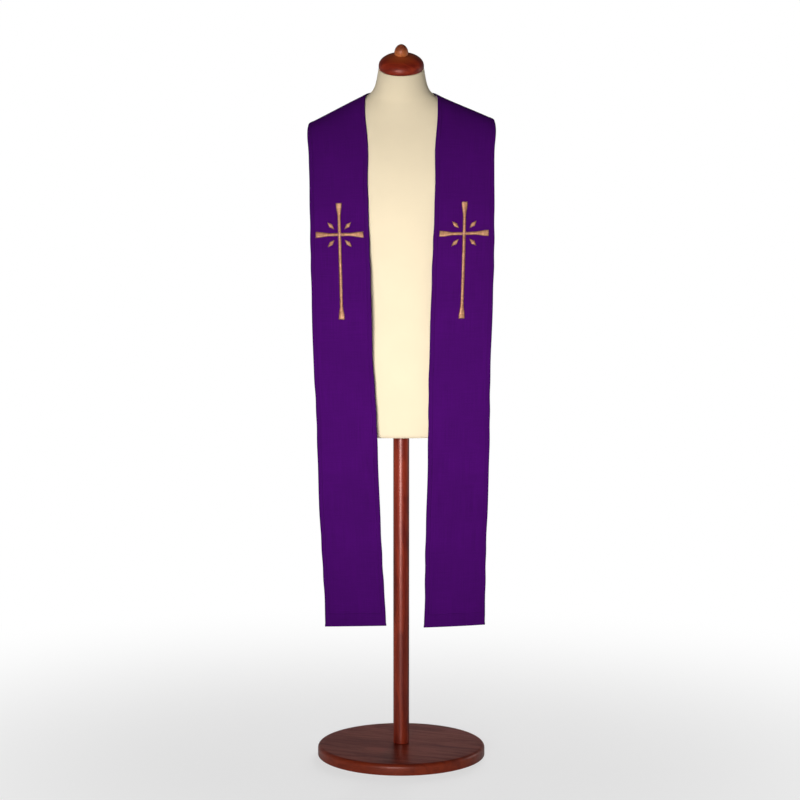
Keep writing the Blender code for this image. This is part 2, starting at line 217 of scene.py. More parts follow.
def make_weave():
    """Plain weave from flat cloth coordinates in metres: thread height and a tone round 1."""
    group, source, result = start_group(
        "plain weave",
        [("Cloth", "NodeSocketVector", None), ("Threads per Metre", "NodeSocketFloat", 1600.0),
         ("Tone Spread", "NodeSocketFloat", 0.10)],
        [("Height", "NodeSocketFloat"), ("Tone", "NodeSocketFloat")])
    axes = add_node(group, "ShaderNodeSeparateXYZ", Vector=source.outputs["Cloth"])
    turn = calc(group, "MULTIPLY", source.outputs["Threads per Metre"], math.pi)
    warp = calc(group, "SINE", calc(group, "MULTIPLY", axes.outputs[0], turn))
    weft = calc(group, "SINE", calc(group, "MULTIPLY", axes.outputs[1], turn))
    on_top = calc(group, "GREATER_THAN", calc(group, "MULTIPLY", warp, weft), 0.0)
    warp_height = calc(group, "ABSOLUTE", warp)
    weft_height = calc(group, "ABSOLUTE", weft)
    crossing = calc(group, "MULTIPLY", warp_height, weft_height)
    chosen = add_node(
        group, "ShaderNodeMix", Factor=on_top, i2=weft_height, i3=warp_height)
    height = calc(group, "MULTIPLY_ADD", crossing, 0.5, calc(group, "MULTIPLY", chosen, 0.5))
    tone = calc(group, "MULTIPLY_ADD", calc(group, "SUBTRACT", height, MEAN_HEIGHT),
                source.outputs["Tone Spread"], 1.0)
    plug(group, height, result.inputs["Height"])
    plug(group, tone, result.inputs["Tone"])
    return group


weave_effect = make_weave()
print("effect:", weave_effect.name)

# %% Effect: mottle


def make_mottle():
    """Slow uneven tone from any coordinates, with its patches drawn out by Stretch."""
    group, source, result = start_group(
        "mottle",
        [("Vector", "NodeSocketVector", None), ("Stretch", "NodeSocketVector", (1.0, 1.0, 1.0)),
         ("Scale", "NodeSocketFloat", 8.0), ("Spread", "NodeSocketFloat", 0.06)],
        [("Tone", "NodeSocketFloat")])
    drawn = add_node(group, "ShaderNodeVectorMath", {"operation": "MULTIPLY"},
                     i0=source.outputs["Vector"], i1=source.outputs["Stretch"])
    noise = add_node(group, "ShaderNodeTexNoise", Vector=drawn,
                     Scale=source.outputs["Scale"], Detail=3.0, Roughness=0.55)
    tone = calc(group, "MULTIPLY_ADD", calc(group, "SUBTRACT", noise, 0.5),
                source.outputs["Spread"], 1.0)
    plug(group, tone, result.inputs["Tone"])
    return group


mottle_effect = make_mottle()
print("effect:", mottle_effect.name)

# %% Effect: wood grain
FIGURE_STRETCH = (5.0, 42.0, 42.0)
PORE_STRETCH = (60.0, 900.0, 900.0)
FIGURE_SHARE, PORE_SHARE = 0.85, 0.25
GRAIN_RANGE = (0.38, 0.72)
PORE_RANGE = (0.30, 0.48)


def make_grain():
    """Wood grain that runs along X of the given coordinates: a mask from dark to light."""
    group, source, result = start_group(
        "wood grain",
        [("Vector", "NodeSocketVector", None), ("Scale", "NodeSocketFloat", 1.0)],
        [("Grain", "NodeSocketFloat"), ("Pores", "NodeSocketFloat")])
    sized = add_node(group, "ShaderNodeVectorMath", {"operation": "SCALE"},
                     i0=source.outputs["Vector"], Scale=source.outputs["Scale"])
    broad = add_node(group, "ShaderNodeMapping", Vector=sized, Scale=FIGURE_STRETCH)
    figure = add_node(group, "ShaderNodeTexNoise", Vector=broad,
                      Scale=1.0, Detail=5.0, Roughness=0.6, Distortion=1.2)
    fine = add_node(group, "ShaderNodeMapping", Vector=sized, Scale=PORE_STRETCH)
    pores = add_node(group, "ShaderNodeTexNoise", Vector=fine,
                     Scale=1.0, Detail=2.0, Roughness=0.5)
    both = calc(group, "MULTIPLY_ADD", pores, PORE_SHARE,
                calc(group, "MULTIPLY", figure, FIGURE_SHARE))
    plug(group, remap(group, both, *GRAIN_RANGE, 0.0, 1.0), result.inputs["Grain"])
    plug(group, remap(group, pores, *PORE_RANGE, 0.0, 1.0), result.inputs["Pores"])
    return group


grain_effect = make_grain()
print("effect:", grain_effect.name)

# %% [markdown]
# ## Violet cloth
#
# The stole is a matt, fairly heavy plain-weave cloth, dyed a deep violet. Flat cloth coordinates,
# kept in the mesh as a UV map in metres, make the weave follow the strip over the shoulder as real
# threads do. Threads differ a little in thickness and in how they take dye, so fine streaks run both
# ways. Where the cloth is folded in along its edges and its hem, its colour is made a little darker.
# The mesh marks those places in an attribute named turned. Along the line where the turning ends, a
# narrow band of painted shade darkens the colour as the step's own shading would. The very edge,
# where the cloth rolls over, also has painted shade: a darker strip of colour for the roll's shading.
# A little sheen stands for the fibre ends that catch light at a grazing angle.

# %% Violet cloth
VIOLET = (0.0552, 0.00125, 0.1150)
# Painted shade: the colour is darkened over the last few millimetres of each long edge, for the
# roll's shading.
EDGE_SHADE_FROM = 0.0665
EDGE_SHADE_TO = 0.0705
EDGE_SHADE_TONE = 0.80
TURNING_DEEPENS = 0.05
# Painted shade along the step where the turning ends.
STEP_SHADE_DEEPENS = 0.70
CLOTH_UNEVENNESS = (
    # how fast it changes (across, along, unused), spread
    ((700.0, 12.0, 1.0), 0.55),
    ((16.0, 620.0, 1.0), 0.45),
    ((9.0, 9.0, 1.0), 0.30),
)


def make_violet_cloth():
    """Matt violet plain weave, streaked along the warp."""
    material, tree, shader = start_material(
        "violet_cloth", Roughness=0.92, Specular_IOR_Level=0.08, Sheen_Weight=0.05,
        Sheen_Roughness=0.45, Sheen_Tint=(0.30, 0.05, 0.60, 1.0))
    cloth = add_node(tree, "ShaderNodeUVMap", {"uv_map": "cloth"})
    weave = use_group(
        tree, weave_effect, Cloth=cloth, Threads_per_Metre=1900.0, Tone_Spread=0.22)
    from_middle = calc(tree, "ABSOLUTE", add_node(tree, "ShaderNodeSeparateXYZ", Vector=cloth))
    # Painted shade: darker colour over the last few millimetres of each long edge, for the roll's
    # shading.
    tone = remap(tree, from_middle, EDGE_SHADE_FROM, EDGE_SHADE_TO, 1.0, EDGE_SHADE_TONE)
    turned = mesh_value(tree, "turned")
    # Painted shade on the step where the turning ends, strongest halfway up it.
    step_shade = calc(tree, "MULTIPLY", turned, calc(tree, "SUBTRACT", 1.0, turned))
    changes = [calc(tree, "MULTIPLY_ADD", place, -deeper, 1.0)
               for place, deeper in ((turned, TURNING_DEEPENS), (step_shade, STEP_SHADE_DEEPENS))]
    changes += [
        use_group(tree, mottle_effect, Vector=cloth, Stretch=stretch, Scale=1.0, Spread=spread)
        for stretch, spread in CLOTH_UNEVENNESS]
    for change in (*changes, weave.outputs["Tone"]):
        tone = calc(tree, "MULTIPLY", tone, change)
    finish_material(tree, shader, tinted(tree, VIOLET, tone), weave.outputs["Height"],
                    strength=0.55, distance=0.00025)
    return material


violet_cloth = make_violet_cloth()
print("finish:", violet_cloth.name)

# %% [markdown]
# ## Embroidery thread
#
# Each stitch carries its own number between 0 and 1 as a mesh attribute. Together with a slow mottle
# it picks a shade between two tones of the thread, so neighbouring stitches differ a little, as real
# thread does where it turns in the light. The thread is partly metallic, which gives it its lustre.

# %% Gold and copper thread
ROSE_GOLD = ((0.290, 0.108, 0.040), (0.860, 0.490, 0.275))
COPPER = ((0.130, 0.030, 0.008), (0.300, 0.085, 0.022))
VIOLET_SEWING = ((0.060, 0.002, 0.120), (0.110, 0.008, 0.200))
STITCH_SHARE = 0.40


def make_thread(name, shades, roughness=0.36, metallic=0.35):
    """Lustrous thread whose shade is picked by the stitch's own number and a slow mottle."""
    material, tree, shader = start_material(
        name, Roughness=roughness, Metallic=metallic, Sheen_Weight=0.10, Sheen_Roughness=0.4)
    place = add_node(tree, "ShaderNodeTexCoord").outputs["Object"]
    slow = use_group(tree, mottle_effect, Vector=place, Scale=160.0, Spread=2.0)
    slow_share = calc(tree, "MULTIPLY_ADD", slow, 1.0 - STITCH_SHARE, -0.5 * (1.0 - STITCH_SHARE))
    shade = calc(
        tree, "MULTIPLY_ADD", mesh_value(tree, "thread_tone"), STITCH_SHARE, slow_share)
    fibres = add_node(tree, "ShaderNodeTexNoise", Vector=place, Scale=2600.0, Detail=1.0)
    finish_material(tree, shader, mix_colours(tree, shade, *shades), fibres,
                    strength=0.25, distance=0.0001)
    return material


gold_thread = make_thread("gold_thread", ROSE_GOLD)
copper_thread = make_thread("copper_thread", COPPER)
violet_thread = make_thread("violet_thread", VIOLET_SEWING, roughness=0.60, metallic=0.0)
print("finishes:", gold_thread.name, copper_thread.name, violet_thread.name)

# %% [markdown]
# ## Cream cover
#
# The form is stretched over with a thin cream cotton jersey. Its courses and wales are so fine that
# they read as a soft matt surface from a step away, so the weave effect at a fine count stands for
# them. The torso has no UV map. The angle round it, times its mean radius, gives the width instead.

# %% Cream cover
CREAM = (0.822, 0.697, 0.489)
COVER_RADIUS = 0.17
COVER_WIDER_THAN_DEEP = 2.0


def make_cream_cover():
    """Fine cotton jersey: level courses, upright wales and a faint mottle."""
    material, tree, shader = start_material(
        "cream_cover", Roughness=0.93, Specular_IOR_Level=0.25, Sheen_Weight=0.08,
        Sheen_Roughness=0.5)
    place = add_node(tree, "ShaderNodeTexCoord").outputs["Object"]
    axes = add_node(tree, "ShaderNodeSeparateXYZ", Vector=place)
    turn = calc(tree, "ARCTAN2", axes.outputs[0],
                calc(tree, "MULTIPLY", axes.outputs[1], COVER_WIDER_THAN_DEEP))
    flat = vector(tree, X=calc(tree, "MULTIPLY", turn, COVER_RADIUS), Y=axes.outputs[2])
    weave = use_group(tree, weave_effect, Cloth=flat, Threads_per_Metre=1500.0, Tone_Spread=0.06)
    patches = use_group(tree, mottle_effect, Vector=place, Scale=14.0, Spread=0.07)
    tone = calc(tree, "MULTIPLY", weave.outputs["Tone"], patches)
    finish_material(tree, shader, tinted(tree, CREAM, tone), weave.outputs["Height"],
                    strength=0.45, distance=0.0002)
    return material


cream_cover = make_cream_cover()
print("finish:", cream_cover.name)

# %% [markdown]
# ## Mahogany
#
# The cap, knob, pole and base are turned wood, stained a deep red-brown and polished. The grain runs
# up the pole but across the cap and the base, as it does when each is cut from its own blank. So the
# finish is made by a function that first turns the coordinates to the blank's direction. Each finish
# has a third, paler shade, blended in by a mask that the mesh keeps as an attribute. Along the edge
# of the base it is real wear, where the stain is rubbed thinner. Round the knob's seat on the cap and
# low
# on the knob it is painted light: a paler patch of colour where light falls. The polish is a warm
# one, so its gloss is tinted.

# %% Mahogany
# Dark, light and a third shade. On the base the third is real wear. On the cap and the knob it is
# painted light, a paler patch where light falls.
MAHOGANY = ((0.098, 0.0066, 0.0027), (0.250, 0.0290, 0.0100), (0.300, 0.0480, 0.0130))
CAP_MAHOGANY = ((0.140, 0.0080, 0.0030), (0.330, 0.0340, 0.0112), (0.360, 0.0620, 0.0115))
KNOB_MAHOGANY = ((0.170, 0.0280, 0.0110), (0.330, 0.0800, 0.0300), (0.500, 0.1400, 0.0420))
WARM_GLOSS = (1.0, 0.50, 0.45, 1.0)
WOOD_ROUGHNESS = (0.42, 0.33)
WOODS = (
    # name, turn of the blank, shades, weight of the polish, its roughness
    ("mahogany_across", (0.0, 0.0, 0.35), MAHOGANY, 0.20, 0.26),
    ("mahogany_upright", (0.0, math.pi / 2.0, 0.0), MAHOGANY, 0.20, 0.26),
    ("mahogany_cap", (0.0, 0.0, 0.35), CAP_MAHOGANY, 0.10, 0.38),
    ("mahogany_knob", (0.0, 0.0, 0.90), KNOB_MAHOGANY, 0.05, 0.40),
)


def make_mahogany(name, blank_turn, shades, coat, coat_roughness):
    """Polished wood from a dark, a light and a third shade, its grain along the blank. The third is
    real wear or painted light.
    """
    material, tree, shader = start_material(
        name, Coat_Weight=coat, Coat_Roughness=coat_roughness, Specular_IOR_Level=0.50,
        Specular_Tint=WARM_GLOSS)
    place = add_node(tree, "ShaderNodeTexCoord").outputs["Object"]
    turned = add_node(tree, "ShaderNodeMapping", Vector=place, Rotation=blank_turn)
    grain = use_group(tree, grain_effect, Vector=turned, Scale=1.0)
    dark, light, wear_and_painted_light = shades
    stain = mix_colours(tree, grain.outputs["Grain"], dark, light)
    # The third shade comes in by a mask from the mesh: real wear on the base, painted light on the
    # cap and the knob.
    worn_and_lit = mix_colours(tree, mesh_value(tree, "wear_and_painted_light"), stain, wear_and_painted_light)
    roughness = remap(tree, grain.outputs["Grain"], 0.0, 1.0, *WOOD_ROUGHNESS)
    plug(tree, roughness, shader.inputs["Roughness"])
    finish_material(
        tree, shader, worn_and_lit, grain.outputs["Pores"], strength=0.12, distance=0.0002)
    return material


across_mahogany, upright_mahogany, cap_mahogany, knob_mahogany = (
    make_mahogany(*row) for row in WOODS)
print("woods:", ", ".join(row[0] for row in WOODS))

# %% [markdown]
# ## Curves from tables
#
# A maker would draw the drape and the form as a few measured stations and join them by eye. Here the
# stations are rows of a table, and a cubic that never overshoots joins them. A spline that overshoots
# would put a bulge beside every sudden change.

# %% Read a table smoothly


def smooth_table(rows, column, at):
    """One column of a table at any place: a cubic through the rows that never overshoots."""
    place = np.array([row[0] for row in rows], dtype=float)
    value = np.array([row[column] for row in rows], dtype=float)
    step = np.diff(place)
    secant = np.diff(value) / step
    slope = np.zeros_like(value)
    for i in range(1, len(rows) - 1):
        if secant[i - 1] * secant[i] > 0.0:
            weight_a = 2.0 * step[i] + step[i - 1]
            weight_b = step[i] + 2.0 * step[i - 1]
            slope[i] = (weight_a + weight_b) / (weight_a / secant[i - 1] + weight_b / secant[i])
    at = np.clip(np.asarray(at, dtype=float), place[0], place[-1])
    cell = np.clip(np.searchsorted(place, at, side="right") - 1, 0, len(step) - 1)
    t = (at - place[cell]) / step[cell]
    start = (1.0 + 2.0 * t) * (1.0 - t) ** 2 * value[cell]
    end = t ** 2 * (3.0 - 2.0 * t) * value[cell + 1]
    lead = t * (1.0 - t) ** 2 * step[cell] * slope[cell]
    trail = t ** 2 * (t - 1.0) * step[cell] * slope[cell + 1]
    return start + end + lead + trail


def smooth_step(value, start, end):
    """0 before start, 1 after end, and a smooth rise between them."""
    t = np.clip((value - start) / (end - start), 0.0, 1.0)
    return t * t * (3.0 - 2.0 * t)


def unit(vectors):
    """Vectors of the same directions, one metre long."""
    return vectors / np.linalg.norm(vectors, axis=-1, keepdims=True)


print("a quarter of the way along a smooth step:", smooth_step(0.25, 0.0, 1.0))

# %% [markdown]
# ## How the stole hangs
#
# Cloth bends easily one way at a time but hardly stretches. So each strip is treated as a sheet bent
# over one straight rail, the line of the shoulder. A place on the strip is two lengths: how far along
# from the shoulder, and how far across towards the outer edge.

# %% Sizes of the stole
BAND_WIDTH = 0.142
CLOTH_WALL = 0.0024
SEAM_GAP = 0.0003

# The shoulder rail: its slope, its upper end beside the neck, and where a band's middle crosses it.
SHOULDER_SLOPE = math.radians(25.4)
RIDGE_START = 0.0850
RIDGE_HEIGHT = 1.5683
BAND_CENTRE_AT_RIDGE = 0.1460

# A hanging band leans in towards the other, and faces slightly outward round the chest. Both come on
# between two distances below the rail.
BAND_LEAN = math.radians(1.6)
CHEST_TURN = math.radians(6.0)
HANGS_FROM = 0.05
HANGS_FREE = 0.35
print(f"a band is {BAND_WIDTH:.3f} m wide and {CLOTH_WALL:.4f} m thick")

# %% [markdown]
# The fall tables say how steep the cloth is at each distance over the rail. They are summed into a
# drop and a reach.

# %% Fall over the rail
FRONT_FALL = (
    # distance, slope from vertical in degrees
    (0.000, 90.0), (0.024, 59.0), (0.050, 35.0), (0.090, 22.0), (0.160, 14.5),
    (0.240, 8.5), (0.330, 3.5), (0.420, 0.0), (1.400, 0.0),
)
BACK_FALL = (
    # distance, slope from vertical in degrees
    (0.000, 90.0), (0.024, 60.0), (0.050, 40.0), (0.090, 27.0), (0.160, 12.0),
    (0.240, 4.0), (0.330, 0.0), (0.600, 0.0),
)
FALL_STEP = 0.0005


def fall_curve(rows):
    """Add up a table of slopes: the drop and the reach at each distance over the rail."""
    distance = np.arange(0.0, rows[-1][0] + FALL_STEP, FALL_STEP)
    slope = np.radians(smooth_table(rows, 1, distance))
    middle = 0.5 * (slope[1:] + slope[:-1])
    drop = np.concatenate(([0.0], np.cumsum(np.cos(middle)) * FALL_STEP))
    reach = np.concatenate(([0.0], np.cumsum(np.sin(middle)) * FALL_STEP))
    return distance, drop, reach


FRONT_CURVE = fall_curve(FRONT_FALL)
BACK_CURVE = fall_curve(BACK_FALL)


def over_the_ridge(distance):
    """Drop below the rail and place in y, in front of it (distance > 0) or behind it."""
    ahead = np.maximum(distance, 0.0)
    behind = np.maximum(-distance, 0.0)
    drop = np.interp(ahead, FRONT_CURVE[0], FRONT_CURVE[1])
    drop += np.interp(behind, BACK_CURVE[0], BACK_CURVE[1])
    y = -np.interp(ahead, FRONT_CURVE[0], FRONT_CURVE[2])
    y += np.interp(behind, BACK_CURVE[0], BACK_CURVE[2])
    return drop, y


print(f"the front ends drop {FRONT_CURVE[1][-1]:.3f} m over {FRONT_CURVE[0][-1]:.2f} m of cloth")

# %% [markdown]
# No stole hangs quite straight or alike on both sides. Each band has its own table of how far it has
# slid outward and how wide it shows, at a distance below the rail. Broad soft waves run down and
# across the hanging cloth, and its long edges curl back a little.

# %% How each band hangs
RIGHT_HANG = (
    # down, slide, width
    (0.00, 0.0000, 0.1420), (0.05, -0.0045, 0.1402), (0.08, -0.0069, 0.1403),
    (0.15, -0.0120, 0.1400), (0.22, -0.0114, 0.1360), (0.42, -0.0114, 0.1385),
    (0.60, -0.0104, 0.1390), (0.75, -0.0146, 0.1405), (0.93, -0.0154, 0.1425),
    (1.10, -0.0190, 0.1415), (1.22, -0.0223, 0.1425),
)
LEFT_HANG = (
    # down, slide, width
    (0.00, 0.0000, 0.1420), (0.05, -0.0040, 0.1404), (0.08, -0.0054, 0.1403),
    (0.15, -0.0107, 0.1402), (0.22, -0.0095, 0.1385), (0.42, -0.0087, 0.1445),
    (0.65, -0.0093, 0.1440), (0.80, -0.0063, 0.1445), (0.93, -0.0051, 0.1440),
    (1.05, -0.0057, 0.1435), (1.22, -0.0033, 0.1425),
)
WAVE_LENGTH = 0.310
WAVE_ACROSS = 0.35
WAVE_START = 0.17
WAVE_HEIGHT = 0.0022
EDGE_CURL = 0.0020
print("stations down the right and the left band:", len(RIGHT_HANG), len(LEFT_HANG))

# %% [markdown]
# ## Creases
#
# An interlined stole is too stiff for sharp creases. It shows broad shallow troughs, a little drag
# where it turns over the shoulder, a slight pucker round the embroidery and the step of the turned-up
# hem. Each is given as one row: where its middle lies, which way it runs, how long and how
# wide it is, and how deep. A negative depth is a ridge. Lengths and depths differ on purpose.

# %% Creases listed one by one
CREASES = {
    "right": (
        # along, across, turn in degrees, length, width, depth
        (0.115, 0.034, 12.0, 0.150, 0.0150, 0.0007),
        (0.090, -0.022, -9.0, 0.120, 0.0120, -0.0006),
        (0.205, 0.012, 5.0, 0.110, 0.0140, 0.0004),
        (0.330, -0.060, 84.0, 0.030, 0.0070, 0.0004),
        (0.352, 0.061, 97.0, 0.028, 0.0060, 0.0004),
        (0.246, 0.008, -6.0, 0.036, 0.0070, 0.0004),
        (0.552, -0.006, 4.0, 0.060, 0.0080, 0.0005),
        (0.700, 0.040, 3.0, 0.420, 0.0230, 0.0011),
        (0.820, -0.038, -4.0, 0.300, 0.0190, -0.0009),
        (1.060, 0.012, 2.0, 0.330, 0.0260, 0.0012),
        (1.120, -0.052, -6.0, 0.200, 0.0120, 0.0007),
        (-0.130, -0.020, 16.0, 0.160, 0.0150, -0.0005),
        (-0.165, 0.030, 24.0, 0.110, 0.0120, -0.0004),
    ),
    "left": (
        # along, across, turn in degrees, length, width, depth
        (0.105, 0.028, 14.0, 0.170, 0.0170, 0.0007),
        (0.080, -0.034, -12.0, 0.110, 0.0110, -0.0005),
        (0.190, -0.046, 76.0, 0.050, 0.0100, 0.0006),
        (0.336, -0.061, 95.0, 0.028, 0.0060, 0.0004),
        (0.328, 0.060, 82.0, 0.030, 0.0070, 0.0004),
        (0.248, -0.006, 4.0, 0.034, 0.0070, 0.0004),
        (0.550, 0.006, -5.0, 0.070, 0.0080, 0.0005),
        (0.640, -0.032, -3.0, 0.380, 0.0210, -0.0009),
        (0.930, 0.036, 3.0, 0.460, 0.0200, 0.0013),
        (1.010, -0.018, -2.0, 0.350, 0.0240, -0.0010),
        (1.140, 0.058, 5.0, 0.180, 0.0110, 0.0006),
        (-0.120, 0.012, 19.0, 0.150, 0.0150, -0.0005),
        (-0.175, 0.040, 27.0, 0.100, 0.0120, -0.0004),
    ),
}
print("creases:", {name: len(rows) for name, rows in CREASES.items()})

# %% How far the creases lift the cloth


def crease_lift(rows, along, across):
    """How far the creases move the cloth out (+) or in (-) at a place on the band."""
    lift = np.zeros_like(along)
    for mid_along, mid_across, turn, length, width, depth in rows:
        turn = math.radians(turn)
        down = along - mid_along
        out = across - mid_across
        run = down * math.cos(turn) + out * math.sin(turn)
        side = out * math.cos(turn) - down * math.sin(turn)
        fade = np.clip(1.0 - (2.0 * run / length) ** 2, 0.0, 1.0) ** 2
        lift -= depth * fade * np.exp(-((side / width) ** 2) * 2.0)
    return lift


# %% [markdown]
# ## A strip of the stole
#
# The class below is the whole drape. `sheet` gives the middle of the cloth at a place on the strip,
# `surface` steps off it along the normal, and `find_along` searches by halving for the distance at
# which the strip reaches the centre-back seam or the hem. A cloth simulation would give a new drape
# each time a setting changed. Formulas keep the strip's length, its hem and its seam exactly.

# %% One strip, as a sheet


class Band:
    """One strip of the stole. Places on it are metres along from the shoulder and metres across."""

    CROSSING = SHOULDER_SLOPE - BAND_LEAN
    CENTRE_OUT = (BAND_CENTRE_AT_RIDGE - RIDGE_START) / math.cos(SHOULDER_SLOPE)
    NORMAL_STEP = 0.0010
    SEAM_SEARCH = (0.0, -0.45)
    HEM_SEARCH = (0.30, 1.39)
    HALVINGS = 40

    def __init__(self, name, side, droop, skew, hem_height, hem_rise, hang):
        self.name, self.side, self.droop, self.skew = name, side, droop, skew
        self.hem_height, self.hem_rise, self.hang = hem_height, hem_rise, hang

    def sheet(self, along, across):
        """Middle of the cloth's thickness at a place on the band."""
        slide = smooth_table(self.hang, 1, along)
        across = across * smooth_table(self.hang, 2, along) / BAND_WIDTH
        edge = 2.0 * across / BAND_WIDTH
        hanging = smooth_step(along, HANGS_FROM, HANGS_FREE)
        along = along - self.skew * across * hanging
        over = along * math.cos(self.CROSSING) - across * math.sin(self.CROSSING)
        out = self.CENTRE_OUT + along * math.sin(self.CROSSING)
        out = out + across * math.cos(self.CROSSING) + slide
        drop, y = over_the_ridge(over)
        x = RIDGE_START + out * math.cos(SHOULDER_SLOPE) - drop * math.sin(SHOULDER_SLOPE)
        z = RIDGE_HEIGHT - out * math.sin(SHOULDER_SLOPE) - drop * math.cos(SHOULDER_SLOPE)
        z = z - self.droop * smooth_step(x, RIDGE_START, RIDGE_START + BAND_WIDTH)
        turn = CHEST_TURN * hanging
        x = x - across * (1.0 - np.cos(turn))
        y = y + across * np.sin(turn)
        phase = along / WAVE_LENGTH + 0.5 * WAVE_ACROSS * edge + WAVE_START * self.side
        y = y - WAVE_HEIGHT * hanging * np.sin(2.0 * math.pi * phase)
        y = y + EDGE_CURL * hanging * edge ** 2
        return np.stack((self.side * x, y, z), axis=-1)

    def normal(self, along, across):
        """Outward unit normal at a place on the band."""
        step = self.NORMAL_STEP
        lengthwise = self.sheet(along + step, across) - self.sheet(along - step, across)
        crosswise = self.sheet(along, across + step) - self.sheet(along, across - step)
        return unit(np.cross(lengthwise, crosswise) * self.side)

    def surface(self, along, across, lift):
        """A place at a height above the middle of the cloth, with the creases in it."""
        along, across = (np.asarray(value, dtype=float) for value in (along, across))
        creased = lift + crease_lift(CREASES[self.name], along, across)
        return self.sheet(along, across) + self.normal(along, across) * creased[..., None]

    def find_along(self, measure, target, across, lift, near, far):
        """Distance along the band where measure(point) falls to a target, found by halving."""
        near, far = np.full(across.shape, near), np.full(across.shape, far)
        for _ in range(self.HALVINGS):
            middle = 0.5 * (near + far)
            beyond = measure(self.surface(middle, across, lift)) < target
            far = np.where(beyond, middle, far)
            near = np.where(beyond, near, middle)
        return 0.5 * (near + far)

    def seam(self, across, lift):
        """Distance to the centre-back seam, a negative number."""
        return self.find_along(
            lambda point: self.side * point[..., 0], SEAM_GAP / 2.0, across, lift,
            *self.SEAM_SEARCH)

    def hem(self, across, lift):
        """Distance to the hem."""
        height = self.hem_height + self.hem_rise * (across / BAND_WIDTH + 0.5)
        return self.find_along(
            lambda point: point[..., 2], height, across, lift, *self.HEM_SEARCH)


# %% The two bands
BANDS = (
    # name, side, droop of the outer shoulder, skew of the rows, hem's inner height and rise, hang
    Band("right", -1, 0.0040, 0.0560, 0.3324, -0.0044, RIGHT_HANG),
    Band("left", 1, -0.0060, 0.0000, 0.3285, 0.0044, LEFT_HANG),
)
for band in BANDS:
    behind, ahead = (float(end(np.zeros(1), np.zeros(1))[0]) for end in (band.seam, band.hem))
    print(f"{band.name} band: seam at {behind:.3f} m, hem at {ahead:.3f} m along its middle")

# %% [markdown]
# ## Sewing the strips
#
# A stole is sewn inside out and turned, so its long edges are soft rolls and not cut edges. The mesh
# is a closed tube squashed flat: every row of points runs across the face, round one edge, back over
# the underside and round the other edge. Its columns are closer along the long edges, where the cloth
# is turned in.

# %% Section of a strip
ROLL_STEPS = 6
FLAT_HALF = BAND_WIDTH / 2.0 - CLOTH_WALL / 2.0
HALF_FACE = (
    # from the middle of the strip out to, cells
    (0.0580, 17), (0.0640, 9), (FLAT_HALF, 4),
)


def section_points():
    """Places round the section: how far across, and the shares of the half wall out and up."""
    half_face = [0.0]
    for reach, cells in HALF_FACE:
        half_face.extend(np.linspace(half_face[-1], reach, cells + 1)[1:])
    face = np.concatenate((-np.array(half_face[:0:-1]), half_face))
    turns = np.linspace(0.0, math.pi, ROLL_STEPS + 1)[1:-1]
    level = np.zeros_like(face)
    edge = np.full(turns.shape, FLAT_HALF)
    across = np.concatenate((face, edge, face[::-1], -edge))
    roll = np.concatenate((level, np.sin(turns), level, -np.sin(turns)))
    lift = np.concatenate((level + 1.0, np.cos(turns), level - 1.0, -np.cos(turns)))
    return across, roll, lift


SECTION = section_points()
print("points round a strip:", len(SECTION[0]))

# %% [markdown]
# The turnings, the cloth that is folded in, lie between the two faces. They make the strip thicker
# along its long edges and its hem, and a low step shows where they end. The long edges also ripple a
# little, and the hem flares at its corners.

# %% One row of a strip
HEM_TURNING = 0.030
EDGE_TURNING = 0.0100
TURNING_STEP = 0.00042
STEP_RUN = 0.0012
EDGE_RIPPLE = 0.0004
RIPPLE_RATE = 61.0
RIPPLE_WANDER = 17.0
RIPPLE_FULL_AT = 0.070
HEM_FLARE = 0.0009
FLARE_RUN = 0.010


def strip_row(band, along, thin, seam, hem):
    """One row of the shell: its points in space, its flat places and how far it is turned in."""
    flat, roll, lift = SECTION
    half = CLOTH_WALL / 2.0
    across = flat + roll * half * thin
    turned = np.maximum.reduce([
        smooth_step(along - hem + HEM_TURNING, -STEP_RUN, STEP_RUN),
        smooth_step(seam + EDGE_TURNING - along, -STEP_RUN, STEP_RUN),
        smooth_step(np.abs(flat) - BAND_WIDTH / 2.0 + EDGE_TURNING, -STEP_RUN, STEP_RUN)])
    thick = lift * thin * (half - TURNING_STEP * (1.0 - turned))
    share = flat / RIPPLE_FULL_AT
    ripple = np.sin(along * RIPPLE_RATE + 2.0 * np.sin(along * RIPPLE_WANDER))
    flare = smooth_step(along, hem - FLARE_RUN, hem)
    drawn = across + EDGE_RIPPLE * ripple * share ** 3 + HEM_FLARE * flare * share
    return band.surface(along, drawn, thick), np.stack((across, along), axis=-1), turned


# %% [markdown]
# The rows follow each other from the seam to the hem, closer where the cloth is turned in. The last
# few at each end draw in along a quarter circle, which closes the strip with the same soft roll.

# %% All the rows of a strip
END_STEPS = 4
END_INSET = 0.0013
PAST_SEAM_TURNING = 0.003
PAST_HEM_TURNING = 0.006
ZONES = (
    # from, to, rows
    ("seam", "seam turning", 12),
    ("seam turning", -0.085, 38),
    (-0.085, 0.115, 60),
    (0.115, 0.420, 78),
    (0.420, "hem turning", 150),
    ("hem turning", "hem", 30),
)


